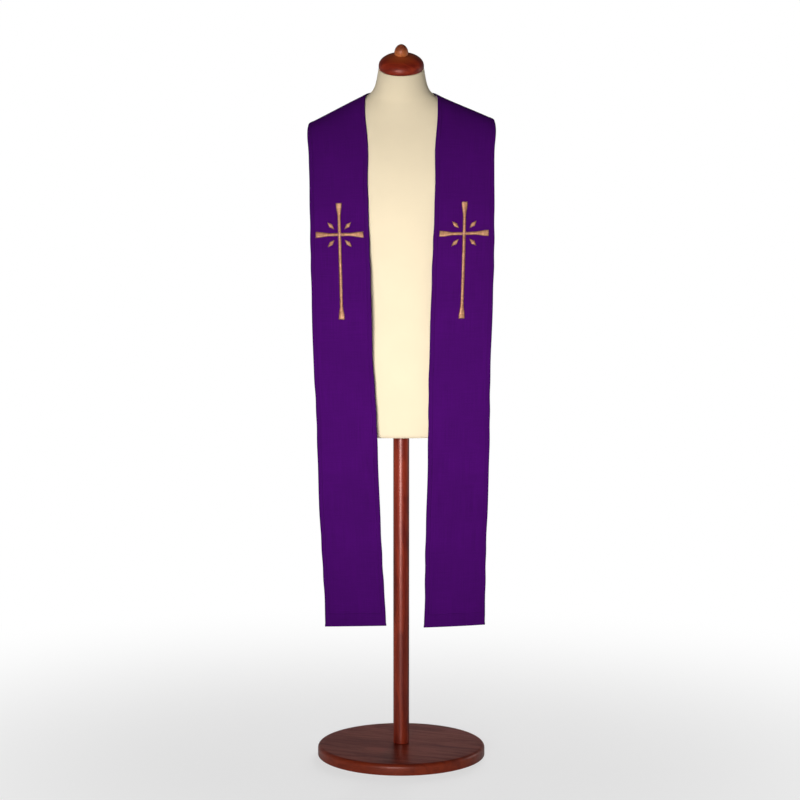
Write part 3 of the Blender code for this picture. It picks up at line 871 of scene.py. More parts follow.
def strip_rows(band):
    """All the rows of a strip from its seam to its hem, with both ends drawn in."""
    flat, _, lift = SECTION
    wall = lift * CLOTH_WALL / 2.0
    seam, hem = band.seam(flat, wall), band.hem(flat, wall)
    rows = []
    for turn in np.linspace(math.pi / 2.0, 0.0, END_STEPS + 1)[:-1]:
        thin, inset = math.cos(turn), END_INSET * (1.0 - math.sin(turn))
        rows.append(strip_row(band, band.seam(flat, wall * thin) + inset, thin, seam, hem))
    places_at = {
        "seam": seam + END_INSET,
        "seam turning": seam + EDGE_TURNING + PAST_SEAM_TURNING,
        "hem turning": hem - HEM_TURNING - PAST_HEM_TURNING,
        "hem": hem - END_INSET,
    }
    for low, high, count in ZONES:
        first = 0 if low == "seam" else 1
        low, high = (places_at.get(end, end) + 0.0 * flat for end in (low, high))
        for i in range(first, count + 1):
            rows.append(strip_row(band, low + (high - low) * i / count, 1.0, seam, hem))
    for turn in np.linspace(0.0, math.pi / 2.0, END_STEPS + 1)[1:]:
        thin, inset = math.cos(turn), END_INSET * (1.0 - math.sin(turn))
        rows.append(strip_row(band, band.hem(flat, wall * thin) - inset, thin, seam, hem))
    return rows


print("rows between seam and hem:", sum(count for _, _, count in ZONES))

# %% [markdown]
# The rows are joined into one skin, face by face. Every corner of a face keeps its flat place in
# metres, for the weave to follow, and every point keeps how far it is turned in. The helper that
# joins rows serves every piece here that is made of rows of points.

# %% Skins from rows of points


def add_rows(shape, rows):
    """Vertices of a bmesh from rows of points."""
    return [[shape.verts.new(point) for point in row] for row in rows]


def skin(shape, rows, closed=True):
    """Faces between rows of vertices, round each row when it is closed."""
    return [shape.faces.new((a[k - 1], a[k], b[k], b[k - 1]))
            for a, b in zip(rows, rows[1:]) for k in range(0 if closed else 1, len(a))]


def finish_piece(name, shape, material):
    """A smooth-shaded object at the origin from a bmesh, with one finish."""
    bmesh.ops.recalc_face_normals(shape, faces=shape.faces)
    mesh = bpy.data.meshes.new(name)
    shape.to_mesh(mesh)
    shape.free()
    mesh.shade_smooth()
    mesh.materials.append(material)
    piece = link(bpy.data.objects.new(name, mesh))
    print(name, len(mesh.polygons), "faces")
    return piece


# %% Build the strips
WELD = 0.00002


def make_strip(band):
    """The closed shell of one strip, with its flat shape in the UV map named cloth."""
    points, places, turned = zip(*strip_rows(band))
    shape = bmesh.new()
    uv = shape.loops.layers.uv.new("cloth")
    turned_in = shape.verts.layers.float.new("turned")
    rows = add_rows(shape, points)
    shape.verts.index_update()
    for corner, share in zip(shape.verts, np.concatenate(turned)):
        corner[turned_in] = share
    flat = np.concatenate(places)
    for face in skin(shape, rows):
        for corner in face.loops:
            corner[uv].uv = flat[corner.vert.index]
    bmesh.ops.remove_doubles(shape, verts=shape.verts, dist=WELD)
    return shape


strips = {
    band.name: finish_piece(f"{band.name}_strip", make_strip(band), violet_cloth)
    for band in BANDS}

# %% [markdown]
# ## The crosses
#
# Each front end carries a plain cross with flared arms and four lozenges, worked in satin stitch.
# Satin stitch lays thread from side to side of a narrow column, over underlay stitches that raise it.
# So the cross is first cut into columns, long narrow patches on the cloth, each a centre line with
# its half widths.

# %% Columns of the cross
CROSS_TOP = 0.262
CROSS_LENGTH = 0.266
CROSS_SPAN = 0.112
CROSS_BAR_DROP = 0.072
BAR_HALF = 0.0023
END_HALF = 0.0058
FLARE = 0.034
CROSS_CENTRE = CROSS_TOP + CROSS_BAR_DROP
ARM_CLEAR = 0.0003
LOZENGE_AWAY = 0.0205
LOZENGE_LENGTH = 0.0175
LOZENGE_HALF = 0.0036
LOZENGE_BLUNT = 0.04
SHAFT_ROWS, ARM_ROWS, LOZENGE_ROWS = 120, 44, 18


def arm_width(out, reach):
    """Half width of an arm: even, then flared towards its end."""
    return BAR_HALF + (END_HALF - BAR_HALF) * smooth_step(out, reach - FLARE, reach)


def lozenges():
    """The four lozenges between the arms: each one's middle and the way it points."""
    for down in (-1.0, 1.0):
        for side in (-1.0, 1.0):
            yield (np.array((CROSS_CENTRE + down * LOZENGE_AWAY, side * LOZENGE_AWAY)),
                   np.array((down, side)) / math.sqrt(2.0))


def cross_columns():
    """Columns of one cross as centre lines (along, across) with their half widths."""
    columns = []
    foot = CROSS_LENGTH - CROSS_BAR_DROP
    run = np.linspace(-CROSS_BAR_DROP, foot, SHAFT_ROWS)
    half = np.maximum(arm_width(run, foot), arm_width(-run, CROSS_BAR_DROP))
    columns.append((np.stack((CROSS_CENTRE + run, 0.0 * run), -1), half))
    for side in (-1.0, 1.0):
        run = np.linspace(BAR_HALF + ARM_CLEAR, CROSS_SPAN / 2.0, ARM_ROWS)
        columns.append((np.stack((CROSS_CENTRE + 0.0 * run, side * run), -1),
                        arm_width(run, CROSS_SPAN / 2.0)))
    for middle, heading in lozenges():
        run = np.linspace(-0.5, 0.5, LOZENGE_ROWS)
        columns.append((middle + run[:, None] * LOZENGE_LENGTH * heading,
                        LOZENGE_HALF * (1.0 + LOZENGE_BLUNT - 2.0 * np.abs(run))))
    return columns


print("columns in a cross:", len(cross_columns()))

# %% [markdown]
# ## Laying a column on the cloth
#
# The guide patch is a small grid that keeps two things for the stitches. Its UV map named column says
# where each point is, from 0 to 1 along and across. The attribute named out says which way leads off
# the cloth. The underlay is the same grid, domed and closed. Real underlay is a few long stitches,
# quite hidden in the end, so a plain dome serves for it.

# %% Grid of a column
COLUMN_CELLS = 6
NARROWEST = 0.0002
END_SQUARENESS = 40


def column_grid(line, half, inset=0.0):
    """Flat places, crown height 0 to 1 and column coordinates over one column's grid."""
    heading = unit(np.gradient(line, axis=0))
    crosswise = np.stack((-heading[:, 1], heading[:, 0]), axis=-1)
    t = np.linspace(-1.0, 1.0, COLUMN_CELLS + 1)
    reach = np.maximum(half - inset, NARROWEST)
    flat = line[:, None, :] + crosswise[:, None, :] * (reach[:, None] * t)[..., None]
    s = np.linspace(0.0, 1.0, len(line))
    column = np.stack(np.broadcast_arrays(s[:, None], 0.5 + 0.5 * t), axis=-1)
    crown = np.sqrt(np.clip(1.0 - t ** 2, 0.0, 1.0)) * np.ones_like(s)[:, None]
    ends = np.sqrt(np.clip(1.0 - (2.0 * s - 1.0) ** END_SQUARENESS, 0.0, 1.0))
    return flat, crown * ends[:, None], column


print("a column is", COLUMN_CELLS, "cells across")

# %% The guide patch of a column


def make_guide(band, line, half):
    """The guide patch that the stitches are laid on."""
    flat, _, column = column_grid(line, half)
    rows, count = flat.shape[:2]
    points = band.surface(flat[..., 0], flat[..., 1], 0.0).reshape(-1, 3)
    out = band.normal(flat[..., 0], flat[..., 1]).reshape(-1, 3)
    faces = [(r * count + k, r * count + k + 1, (r + 1) * count + k + 1, (r + 1) * count + k)
             for r in range(rows - 1) for k in range(count - 1)]
    mesh = bpy.data.meshes.new("column")
    mesh.from_pydata(points.tolist(), [], faces)
    uv = mesh.uv_layers.new(name="column")
    corners = np.empty(len(mesh.loops), dtype=np.int32)
    mesh.loops.foreach_get("vertex_index", corners)
    uv.uv.foreach_set("vector", column.reshape(-1, 2)[corners].astype(np.float32).ravel())
    mesh.attributes.new("out", "FLOAT_VECTOR", "POINT").data.foreach_set(
        "vector", out.astype(np.float32).ravel())
    return link(bpy.data.objects.new("column", mesh))


# %% Underlay
UNDERLAY_LIFT = CLOTH_WALL / 2.0 - TURNING_STEP + 0.0001
UNDERLAY_CROWN = 0.0007
UNDERLAY_WALL = 0.0002
UNDERLAY_INSET = 0.0003


def make_underlay(band, columns):
    """The underlay of all the columns of one cross, as closed domed plates."""
    shape = bmesh.new()
    for line, half in columns:
        flat, crown, _ = column_grid(line, half, UNDERLAY_INSET)
        top = UNDERLAY_LIFT + UNDERLAY_CROWN * crown
        foot = np.full(crown.shape, UNDERLAY_LIFT - UNDERLAY_WALL)
        rims = []
        for height in (top, foot):
            grid = add_rows(shape, band.surface(flat[..., 0], flat[..., 1], height))
            skin(shape, grid, closed=False)
            rims.append(grid[0] + [row[-1] for row in grid[1:]] + grid[-1][-2::-1]
                        + [row[0] for row in grid[-2:0:-1]])
        skin(shape, rims)
    return shape


# %% [markdown]
# ## Geometry Nodes for what repeats
#
# Hundreds of stitches follow one rule, so a node tree makes them. Helpers keep the trees short: they
# start and end a tree, copy a stitch to many spots and turn a curve into thread. The last ones run a
# tree on a guide object, read the finished mesh back as plain geometry, throw the guide away and join
# what belongs together.

# %% Start and end a tree


def start_tree(name, **inputs):
    """A Geometry Nodes tree: the tree, what it is given, and its output node."""
    tree = bpy.data.node_groups.new(name, "GeometryNodeTree")
    for socket, kind in {"Geometry": "Geometry", **inputs}.items():
        tree.interface.new_socket(
            socket.replace("_", " "), in_out="INPUT", socket_type=f"NodeSocket{kind}")
    tree.interface.new_socket("Geometry", in_out="OUTPUT", socket_type="NodeSocketGeometry")
    return tree, tree.nodes.new("NodeGroupInput").outputs, tree.nodes.new("NodeGroupOutput")


def finish_tree(tree, shape, finish, result):
    """Shade smooth, make the instances real and set the finish."""
    smooth = add_node(tree, "GeometryNodeSetShadeSmooth", Geometry=shape)
    real = add_node(tree, "GeometryNodeRealizeInstances", Geometry=smooth)
    done = add_node(tree, "GeometryNodeSetMaterial", Geometry=real, Material=finish)
    plug(tree, done, result.inputs["Geometry"])


# %% Stitches and thread
THREAD_SIDES = 5


def lay_numbered(tree, spots, stitch, seed, **inputs):
    """Copy a stitch to every spot, and give each copy its own number between 0 and 1."""
    laid = add_node(
        tree, "GeometryNodeInstanceOnPoints", Points=spots, Instance=stitch, **inputs)
    number = add_node(tree, "FunctionNodeRandomValue", Seed=seed)
    return add_node(
        tree, "GeometryNodeStoreNamedAttribute", {"domain": "INSTANCE"},
        Geometry=laid, Name="thread_tone", Value=number.outputs[1])


def thicken(tree, curve, radius, **inputs):
    """Give a curve the round section of a thread."""
    ring = add_node(tree, "GeometryNodeCurvePrimitiveCircle",
                    Resolution=THREAD_SIDES, Radius=radius)
    return add_node(
        tree, "GeometryNodeCurveToMesh", Curve=curve, Profile_Curve=ring, **inputs)


# %% Run a tree and keep its mesh


def run_tree(guide, tree, **values):
    """Run a tree on a guide and return the result as a plain mesh. The guide is removed."""
    modifier = guide.modifiers.new(tree.name, "NODES")
    modifier.node_group = tree
    sockets = {item.name: item.identifier for item in tree.interface.items_tree
               if item.in_out == "INPUT"}
    for name, value in values.items():
        modifier[sockets[name.replace("_", " ")]] = value
    guide.update_tag()
    bpy.context.view_layer.update()
    ready = guide.evaluated_get(bpy.context.evaluated_depsgraph_get())
    mesh = bpy.data.meshes.new_from_object(ready)
    bpy.data.objects.remove(guide, do_unlink=True)
    return mesh


def join_meshes(name, meshes):
    """One object from plain meshes that share attribute names."""
    parts = [link(bpy.data.objects.new(name, mesh)) for mesh in meshes]
    if len(parts) > 1:
        with bpy.context.temp_override(
                active_object=parts[0], object=parts[0],
                selected_objects=parts, selected_editable_objects=parts):
            bpy.ops.object.join()
    parts[0].name = name
    print(name, len(parts[0].data.polygons), "faces")
    return parts[0]


# %% [markdown]
# ## A tree for satin stitch
#
# The threads are first laid straight on a unit square, where how far along and how far across the
# column are plain X and Y. Then each point looks up where that place lies on the guide patch, and
# steps off the cloth to pass over the underlay. So one tree serves columns of every shape.

# %% Threads on a unit square
THREAD_POINTS = 8


def straight_threads(tree, given):
    """Straight threads on a unit square: X is how far along the column, Y how far across."""
    counted = calc(tree, "ADD", add_node(tree, "GeometryNodeInputIndex"), 0.5)
    place = calc(tree, "DIVIDE", counted, given["Stitches"])
    spots = add_node(
        tree, "GeometryNodePoints", Count=given["Stitches"], Position=vector(tree, X=place))
    back = calc(tree, "MULTIPLY", given["Slant"], -0.5)
    ahead = calc(tree, "MULTIPLY", given["Slant"], 0.5)
    thread = add_node(tree, "GeometryNodeCurvePrimitiveLine",
                      Start=vector(tree, X=back), End=vector(tree, X=ahead, Y=1.0))
    laid = lay_numbered(tree, spots, thread, given["Seed"])
    loose = add_node(tree, "GeometryNodeRealizeInstances", Geometry=laid)
    return add_node(tree, "GeometryNodeResampleCurve", Curve=loose, Count=THREAD_POINTS)


# %% Threads on the cloth
PATCH_MARGIN = 0.0008


def clamped(tree, value):
    """Keep a column coordinate just inside its patch."""
    return add_node(
        tree, "ShaderNodeClamp", Value=value, Min=PATCH_MARGIN, Max=1.0 - PATCH_MARGIN)


def kept(tree, name, kind="FLOAT_VECTOR"):
    """What the geometry keeps as a named attribute."""
    return add_node(tree, "GeometryNodeInputNamedAttribute", {"data_type": kind}, Name=name)


def sample_patch(tree, patch, value, where):
    """Read a vector of the guide patch at a place given in column coordinates."""
    return add_node(
        tree, "GeometryNodeSampleUVSurface", {"data_type": "FLOAT_VECTOR"}, Mesh=patch,
        Value=value, Source_UV_Map=kept(tree, "column"), Sample_UV=where)


def bend_onto_cloth(tree, given, threads):
    """Carry threads from the unit square to the guide patch, arched over the underlay."""
    position = add_node(tree, "GeometryNodeInputPosition")
    spot = add_node(tree, "ShaderNodeSeparateXYZ", Vector=position)
    uneven = calc(tree, "SUBTRACT", kept(tree, "thread_tone", "FLOAT"), 0.5)
    wander = calc(tree, "MULTIPLY", uneven, given["Unevenness"])
    along = clamped(tree, calc(tree, "ADD", spot, wander))
    over = clamped(tree, spot.outputs[1])
    where = vector(tree, X=along, Y=over)
    on_cloth = sample_patch(tree, given["Geometry"], position, where)
    out = sample_patch(tree, given["Geometry"], kept(tree, "out"), where)
    hump = calc(tree, "MULTIPLY", over, calc(tree, "SUBTRACT", 1.0, over))
    arch = calc(tree, "SQRT", calc(tree, "MULTIPLY", hump, 4.0))
    height = calc(tree, "ADD", calc(tree, "MULTIPLY", arch, given["Crown"]), given["Lift"])
    raised = add_node(tree, "ShaderNodeVectorMath", {"operation": "SCALE"}, i0=out, Scale=height)
    there = add_node(tree, "ShaderNodeVectorMath", {"operation": "ADD"}, i0=on_cloth, i1=raised)
    return add_node(tree, "GeometryNodeSetPosition", Geometry=threads, Position=there)


# %% Tree: satin stitch


def make_satin_tree():
    """Threads laid side to side of a column, a little aslant, each with its own number."""
    tree, given, result = start_tree(
        "satin stitch", Stitches="Int", Slant="Float", Thread_Radius="Float", Lift="Float",
        Crown="Float", Unevenness="Float", Seed="Int", Finish="Material")
    threads = bend_onto_cloth(tree, given, straight_threads(tree, given))
    solid = thicken(tree, threads, given["Thread Radius"], Fill_Caps=True)
    finish_tree(tree, solid, given["Finish"], result)
    return tree


satin_tree = make_satin_tree()
print("tree:", satin_tree.name, len(satin_tree.nodes), "nodes")

# %% [markdown]
# ## Working the satin stitch
#
# The number of stitches in a column comes from its length and the thread's spacing, so the shaft gets
# hundreds and a lozenge a few dozen. The threads touch, as they should in good satin stitch, and
# only their slant and small unevenness tell them apart.

# %% Satin stitch on both crosses
THREAD_RADIUS = 0.00030
THREAD_SPACING = 0.00046
THREAD_SLANT = 0.0016
THREAD_WANDER = 0.0004
SATIN_CLEAR = 0.0001
SATIN_SEED = 11


def lay_satin(band):
    """All the satin stitches of one cross as plain meshes."""
    meshes = []
    for number, (line, half) in enumerate(cross_columns()):
        length = float(np.linalg.norm(np.diff(line, axis=0), axis=1).sum())
        meshes.append(run_tree(
            make_guide(band, line, half), satin_tree,
            Stitches=int(length / THREAD_SPACING), Slant=THREAD_SLANT / length,
            Thread_Radius=THREAD_RADIUS, Lift=UNDERLAY_LIFT + SATIN_CLEAR,
            Crown=UNDERLAY_CROWN + SATIN_CLEAR, Unevenness=THREAD_WANDER / length,
            Seed=SATIN_SEED + number, Finish=gold_thread))
    return meshes


satin = {}
underlay = {}
for band in BANDS:
    satin[band.name] = join_meshes(f"{band.name}_cross_satin", lay_satin(band))
    underlay[band.name] = finish_piece(
        f"{band.name}_cross_underlay", make_underlay(band, cross_columns()), copper_thread)

# %% [markdown]
# ## The couched cord
#
# A cord too thick to pass through cloth is laid round the shape and held by small stitches over it.
# That is couching. The cord is two plies twisted together: its profile is two circles side by side,
# and the curve's tilt turns that profile steadily as it goes round the outline.

# %% Tree: twisted cord
PLY_AWAY = 0.92
PLY_SIDES = 6


def make_cord_tree():
    """Two plies twisted round a closed path. A ply's middle lies PLY_AWAY radii off the path."""
    tree, given, result = start_tree(
        "twisted cord", Ply_Radius="Float", Lay_Length="Float", Step="Float", Finish="Material")
    path = add_node(tree, "GeometryNodeMeshToCurve", Mesh=given["Geometry"])
    even = add_node(tree, "GeometryNodeResampleCurve", {"mode": "LENGTH"},
                    Curve=path, Length=given["Step"])
    length = add_node(tree, "GeometryNodeSplineParameter").outputs["Length"]
    turns = calc(tree, "DIVIDE", length, given["Lay Length"])
    twist = add_node(tree, "GeometryNodeSetCurveTilt", Curve=even,
                     Tilt=calc(tree, "MULTIPLY", turns, 2.0 * math.pi))
    plies = tree.nodes.new("GeometryNodeJoinGeometry")
    for side in (-PLY_AWAY, PLY_AWAY):
        ring = add_node(tree, "GeometryNodeCurvePrimitiveCircle",
                        Resolution=PLY_SIDES, Radius=given["Ply Radius"])
        shift = vector(tree, X=calc(tree, "MULTIPLY", given["Ply Radius"], side))
        moved = add_node(tree, "GeometryNodeTransform", Geometry=ring, Translation=shift)
        plug(tree, moved, plies.inputs[0])
    solid = add_node(tree, "GeometryNodeCurveToMesh", Curve=twist, Profile_Curve=plies)
    tone = add_node(tree, "GeometryNodeStoreNamedAttribute",
                    Geometry=solid, Name="thread_tone", Value=0.5)
    finish_tree(tree, tone, given["Finish"], result)
    return tree


cord_tree = make_cord_tree()
print("tree:", cord_tree.name, len(cord_tree.nodes), "nodes")

# %% [markdown]
# A couching stitch comes up on one side of the cord, passes over it and goes down on the other side.
# A small ring of thread round the cord shows just that, and its lower part is hidden in the cloth.

# %% Tree: couching stitches
RING_SIDES = 10


def make_couching_tree():
    """Small rings of thread over a cord, evenly spaced along its path."""
    tree, given, result = start_tree(
        "couching", Spacing="Float", Ring_Radius="Float", Thread_Radius="Float", Seed="Int",
        Finish="Material")
    path = add_node(tree, "GeometryNodeMeshToCurve", Mesh=given["Geometry"])
    spots = add_node(tree, "GeometryNodeCurveToPoints", {"mode": "LENGTH"},
                     Curve=path, Length=given["Spacing"])
    turn = add_node(tree, "FunctionNodeAlignRotationToVector", {"axis": "Z"},
                    Vector=spots.outputs["Tangent"])
    around = add_node(tree, "GeometryNodeCurvePrimitiveCircle",
                      Resolution=RING_SIDES, Radius=given["Ring Radius"])
    stitch = thicken(tree, around, given["Thread Radius"])
    laid = lay_numbered(
        tree, spots.outputs["Points"], stitch, given["Seed"], Rotation=turn)
    finish_tree(tree, laid, given["Finish"], result)
    return tree


couching_tree = make_couching_tree()
print("tree:", couching_tree.name, len(couching_tree.nodes), "nodes")

# %% [markdown]
# The path of the cord is the outline of the cross and of each lozenge, a little outside the satin
# stitch. An arm is written once and turned in code to the four directions. The outlines are then set
# on the cloth at the height of the cord's middle.

# %% Lines of the cord
PLY_RADIUS = 0.00042
CORD_AWAY = 0.0008
CORD_LIFT = CLOTH_WALL / 2.0 - TURNING_STEP + 1.6 * PLY_RADIUS
OUTLINE_STEP = 0.002
OUTLINE_LEAST = 12
LOZENGE_SIDE_POINTS = 9


def cross_outline():
    """The cross's outline as flat places (along, across), going round once."""
    arms = (
        # direction along, direction across, reach
        (1, 0, CROSS_LENGTH - CROSS_BAR_DROP),
        (0, 1, CROSS_SPAN / 2.0),
        (-1, 0, CROSS_BAR_DROP),
        (0, -1, CROSS_SPAN / 2.0),
    )
    places = []
    for down, side, reach in arms:
        count = max(OUTLINE_LEAST, int(reach / OUTLINE_STEP))
        run = np.linspace(BAR_HALF + CORD_AWAY, reach + CORD_AWAY, count)
        half = arm_width(run, reach) + CORD_AWAY
        out = np.array((down, side), dtype=float)
        cross = np.array((-side, down), dtype=float)
        one_side = out * run[:, None] - cross * half[:, None]
        other = out * run[::-1, None] + cross * half[::-1, None]
        places.extend((one_side[1:], other[:-1]))
    return np.concatenate(places) + (CROSS_CENTRE, 0.0)


def lozenge_outline(middle, heading):
    """A lozenge's four sides, moved out to where the cord lies."""
    long_half = LOZENGE_LENGTH / 2.0
    grown = 1.0 + CORD_AWAY * math.hypot(long_half, LOZENGE_HALF) / (long_half * LOZENGE_HALF)
    point = heading * long_half * grown
    side = np.array((-heading[1], heading[0])) * LOZENGE_HALF * grown
    tips = (point, side, -point, -side, point)
    t = np.linspace(0.0, 1.0, LOZENGE_SIDE_POINTS, endpoint=False)[:, None]
    return middle + np.concatenate([a * (1.0 - t) + b * t for a, b in zip(tips, tips[1:])])


def cord_lines(band):
    """The outlines of one cross and its lozenges, lying on the cloth."""
    outlines = [cross_outline()] + [lozenge_outline(*row) for row in lozenges()]
    return [band.surface(flat[:, 0], flat[:, 1], np.full(len(flat), CORD_LIFT))
            for flat in outlines]


print("lines of cord on a band:", len(cord_lines(BANDS[0])))

# %% [markdown]
# Both trees run on the same lines. One winds the cord along them, and the other sets a couching
# stitch over it every few millimetres.

# %% Couch the cord
CORD_LAY = 0.0028
CORD_STEP = 0.00045
COUCHING_SPACING = 0.0042
COUCHING_RING = 2.1 * PLY_RADIUS
COUCHING_THREAD = 0.00013
COUCHING_SEED = 5


def sew_along(name, lines, closed, tree, **values):
    """Join rows of points into lines, run a tree on them and keep its mesh as one piece."""
    points, edges = [], []
    for line in lines:
        first, count = len(points), len(line)
        points.extend(line.tolist())
        steps = range(count if closed else count - 1)
        edges.extend((first + i, first + (i + 1) % count) for i in steps)
    path = bpy.data.meshes.new("path")
    path.from_pydata(points, edges, [])
    guide = link(bpy.data.objects.new("path", path))
    return join_meshes(name, [run_tree(guide, tree, **values)])


cords = {}
couching = {}
for band in BANDS:
    lines = cord_lines(band)
    cords[band.name] = sew_along(
        f"{band.name}_cross_cord", lines, True, cord_tree, Ply_Radius=PLY_RADIUS,
        Lay_Length=CORD_LAY, Step=CORD_STEP, Finish=copper_thread)
    couching[band.name] = sew_along(
        f"{band.name}_cross_couching", lines, True, couching_tree, Spacing=COUCHING_SPACING,
        Ring_Radius=COUCHING_RING, Thread_Radius=COUCHING_THREAD, Seed=COUCHING_SEED,
        Finish=gold_thread)

# %% [markdown]
# ## Hand sewing
#
# The two strips are joined at the back with a ladder stitch, which shows as short threads across the
# groove of the seam. On the underside of each hem, small slip stitches catch the upper edge of the
# turning. Both are rings of thread along a line, so the couching tree serves again.

# %% Ladder stitch and slip stitch
LADDER_SPACING = 0.0034
LADDER_THREAD = 0.00019
LADDER_SEED = 3
SLIP_SPACING = 0.0065
SLIP_RING = 0.0007
SLIP_THREAD = 0.00014
SLIP_SEED = 9
SEWING_MARGIN = 0.0030
SEWING_POINTS = 60


def sewing_line(band, place_of, lift):
    """A line across the band, from edge to edge, at the distance along that place_of gives."""
    across = np.linspace(-1.0, 1.0, SEWING_POINTS) * (BAND_WIDTH / 2.0 - SEWING_MARGIN)
    lift = np.full(across.shape, lift)
    return band.surface(place_of(across, lift), across, lift)


seam_line = sewing_line(BANDS[0], BANDS[0].seam, 0.0)
seam_line[:, 0] = 0.0
back_stitches = sew_along(
    "back_seam_stitches", [seam_line], False, couching_tree, Spacing=LADDER_SPACING,
    Ring_Radius=CLOTH_WALL / 2.0, Thread_Radius=LADDER_THREAD, Seed=LADDER_SEED,
    Finish=violet_thread)
hem_stitches = {}
for band in BANDS:
    line = sewing_line(
        band, lambda across, lift: band.hem(across, lift) - HEM_TURNING,
        TURNING_STEP - CLOTH_WALL / 2.0)
    hem_stitches[band.name] = sew_along(
        f"{band.name}_hem_stitches", [line], False, couching_tree, Spacing=SLIP_SPACING,
        Ring_Radius=SLIP_RING, Thread_Radius=SLIP_THREAD, Seed=SLIP_SEED, Finish=violet_thread)

# %% [markdown]
# ## The form
#
# The torso is drawn as flat sections, each with its own half width, depth in front and behind, tilt
# and roundness. A stiff moulded body carries a stretched jersey cover, so the surface is smooth and
# has no folds. It is lofted through the sections, more finely than its solid and a hair inside it, so
# that it stays clear of the cloth. Each ring down to the hips is then averaged with its neighbours
# several times, so that no section shows as a line.

# %% Sections of the torso
FORM_SECTIONS = (
    # height, half_width, front, back, centre_y, tilt in degrees, roundness
    (1.6280, 0.0534, 0.0532, 0.0532, -0.0300, 26.0, 2.00),
    (1.6070, 0.0566, 0.0544, 0.0544, -0.0250, 23.0, 2.00),
    (1.5860, 0.0620, 0.0562, 0.0562, -0.0180, 18.0, 2.00),
    (1.5735, 0.0705, 0.0584, 0.0540, -0.0110, 13.0, 1.88),
    (1.5640, 0.0850, 0.0606, 0.0520, -0.0060, 9.0, 1.66),
    (1.5500, 0.1145, 0.0636, 0.0535, 0.0000, 6.0, 1.55),
    (1.5295, 0.1566, 0.0648, 0.0600, 0.0000, 4.0, 1.56),
    (1.5090, 0.1985, 0.0668, 0.0660, 0.0000, 3.0, 1.64),
    (1.4950, 0.2160, 0.0694, 0.0705, 0.0000, 2.0, 1.75),
    (1.4720, 0.2216, 0.0752, 0.0785, 0.0000, 1.0, 1.90),
    (1.4300, 0.2170, 0.0868, 0.0890, 0.0000, 0.0, 2.05),
    (1.3700, 0.2000, 0.0985, 0.0960, 0.0000, 0.0, 2.15),
    (1.2900, 0.1830, 0.1085, 0.0985, 0.0000, 0.0, 2.25),
    (1.2000, 0.1660, 0.1060, 0.0920, 0.0000, 0.0, 2.25),
    (1.1100, 0.1520, 0.0960, 0.0850, 0.0000, 0.0, 2.25),
    (1.0300, 0.1580, 0.0960, 0.0900, 0.0000, 0.0, 2.25),
    (0.9200, 0.1770, 0.1020, 0.1050, 0.0000, 0.0, 2.25),
    (0.8400, 0.1790, 0.1020, 0.1080, 0.0000, 0.0, 2.25),
    (0.7760, 0.1720, 0.0970, 0.1020, 0.0000, 0.0, 2.25),
    (0.7700, 0.1670, 0.0920, 0.0970, 0.0000, 0.0, 2.25),
)
print("sections:", len(FORM_SECTIONS))

# %% One ring of the torso
FORM_QUARTER = 34
QUARTER_SAMPLES = 181
COVER_EASE = 0.0006


def form_ring(height, half_width, front, back, centre_y, tilt, roundness):
    """One ring with evenly spaced points, and a point exactly at each side, front and back."""
    tilt = math.radians(tilt)
    ring = []
    for quarter in range(4):
        turn = (quarter + np.linspace(0.0, 1.0, QUARTER_SAMPLES)) * math.pi / 2.0
        width = half_width - COVER_EASE
        depth = (back if quarter < 2 else front) - COVER_EASE
        x = width * np.sign(np.cos(turn)) * np.abs(np.cos(turn)) ** (2.0 / roundness)
        y = depth * np.sign(np.sin(turn)) * np.abs(np.sin(turn)) ** (2.0 / roundness)
        run = np.concatenate(([0.0], np.cumsum(np.hypot(np.diff(x), np.diff(y)))))
        even = np.linspace(0.0, run[-1], FORM_QUARTER + 1)[:-1]
        ring.append(np.stack((np.interp(even, run, x), np.interp(even, run, y)), axis=-1))
    flat = np.concatenate(ring)
    y = flat[:, 1]
    return np.stack(
        (flat[:, 0], centre_y + y * math.cos(tilt), height + y * math.sin(tilt)), axis=-1)


# %% All the rings of the torso
RINGS_PER_SECTION = 6
EASED_SECTIONS = 17
EASING_PASSES = 16


def form_rings():
    """All the rings of the torso from the neck down."""
    table = [(i, *row) for i, row in enumerate(FORM_SECTIONS)]
    places = np.linspace(0.0, len(table) - 1, (len(table) - 1) * RINGS_PER_SECTION + 1)
    columns = [smooth_table(table, column, places) for column in range(1, 8)]
    rings = np.array([form_ring(*row) for row in zip(*columns)])
    last = EASED_SECTIONS * RINGS_PER_SECTION
    for _ in range(EASING_PASSES):
        rings[1:last] = 0.25 * rings[:last - 1] + 0.5 * rings[1:last] + 0.25 * rings[2:last + 1]
    return rings


torso_rings = form_rings()
print("rings:", len(torso_rings))

# %% Build the torso
CLOSING_SHARES = (0.985, 0.90, 0.60, 0.30)


def make_torso(rings):
    """The covered torso, closed at the neck and at its bottom by rounds that step in."""
    neck, foot = rings[0], rings[-1]
    for share in CLOSING_SHARES:
        rings = np.concatenate(([neck.mean(0) + (neck - neck.mean(0)) * share], rings))
        rings = np.concatenate((rings, [foot.mean(0) + (foot - foot.mean(0)) * share]))
    shape = bmesh.new()
    loops = add_rows(shape, rings)
    skin(shape, loops)
    for loop in (loops[0], loops[-1]):
        middle = shape.verts.new(sum((v.co for v in loop), Vector()) / len(loop))
        for k in range(len(loop)):
            shape.faces.new((loop[k - 1], loop[k], middle))
    return shape


torso = finish_piece("covered_torso", make_torso(torso_rings), cream_cover)

# %% [markdown]
# ## Seams of the cover
#
# The jersey cover is sewn at the two sides and down the centre of the back. A sewn seam under tension
# shows as two low lips with a fine valley between them. A small profile with that shape is swept
# along points of the torso itself.

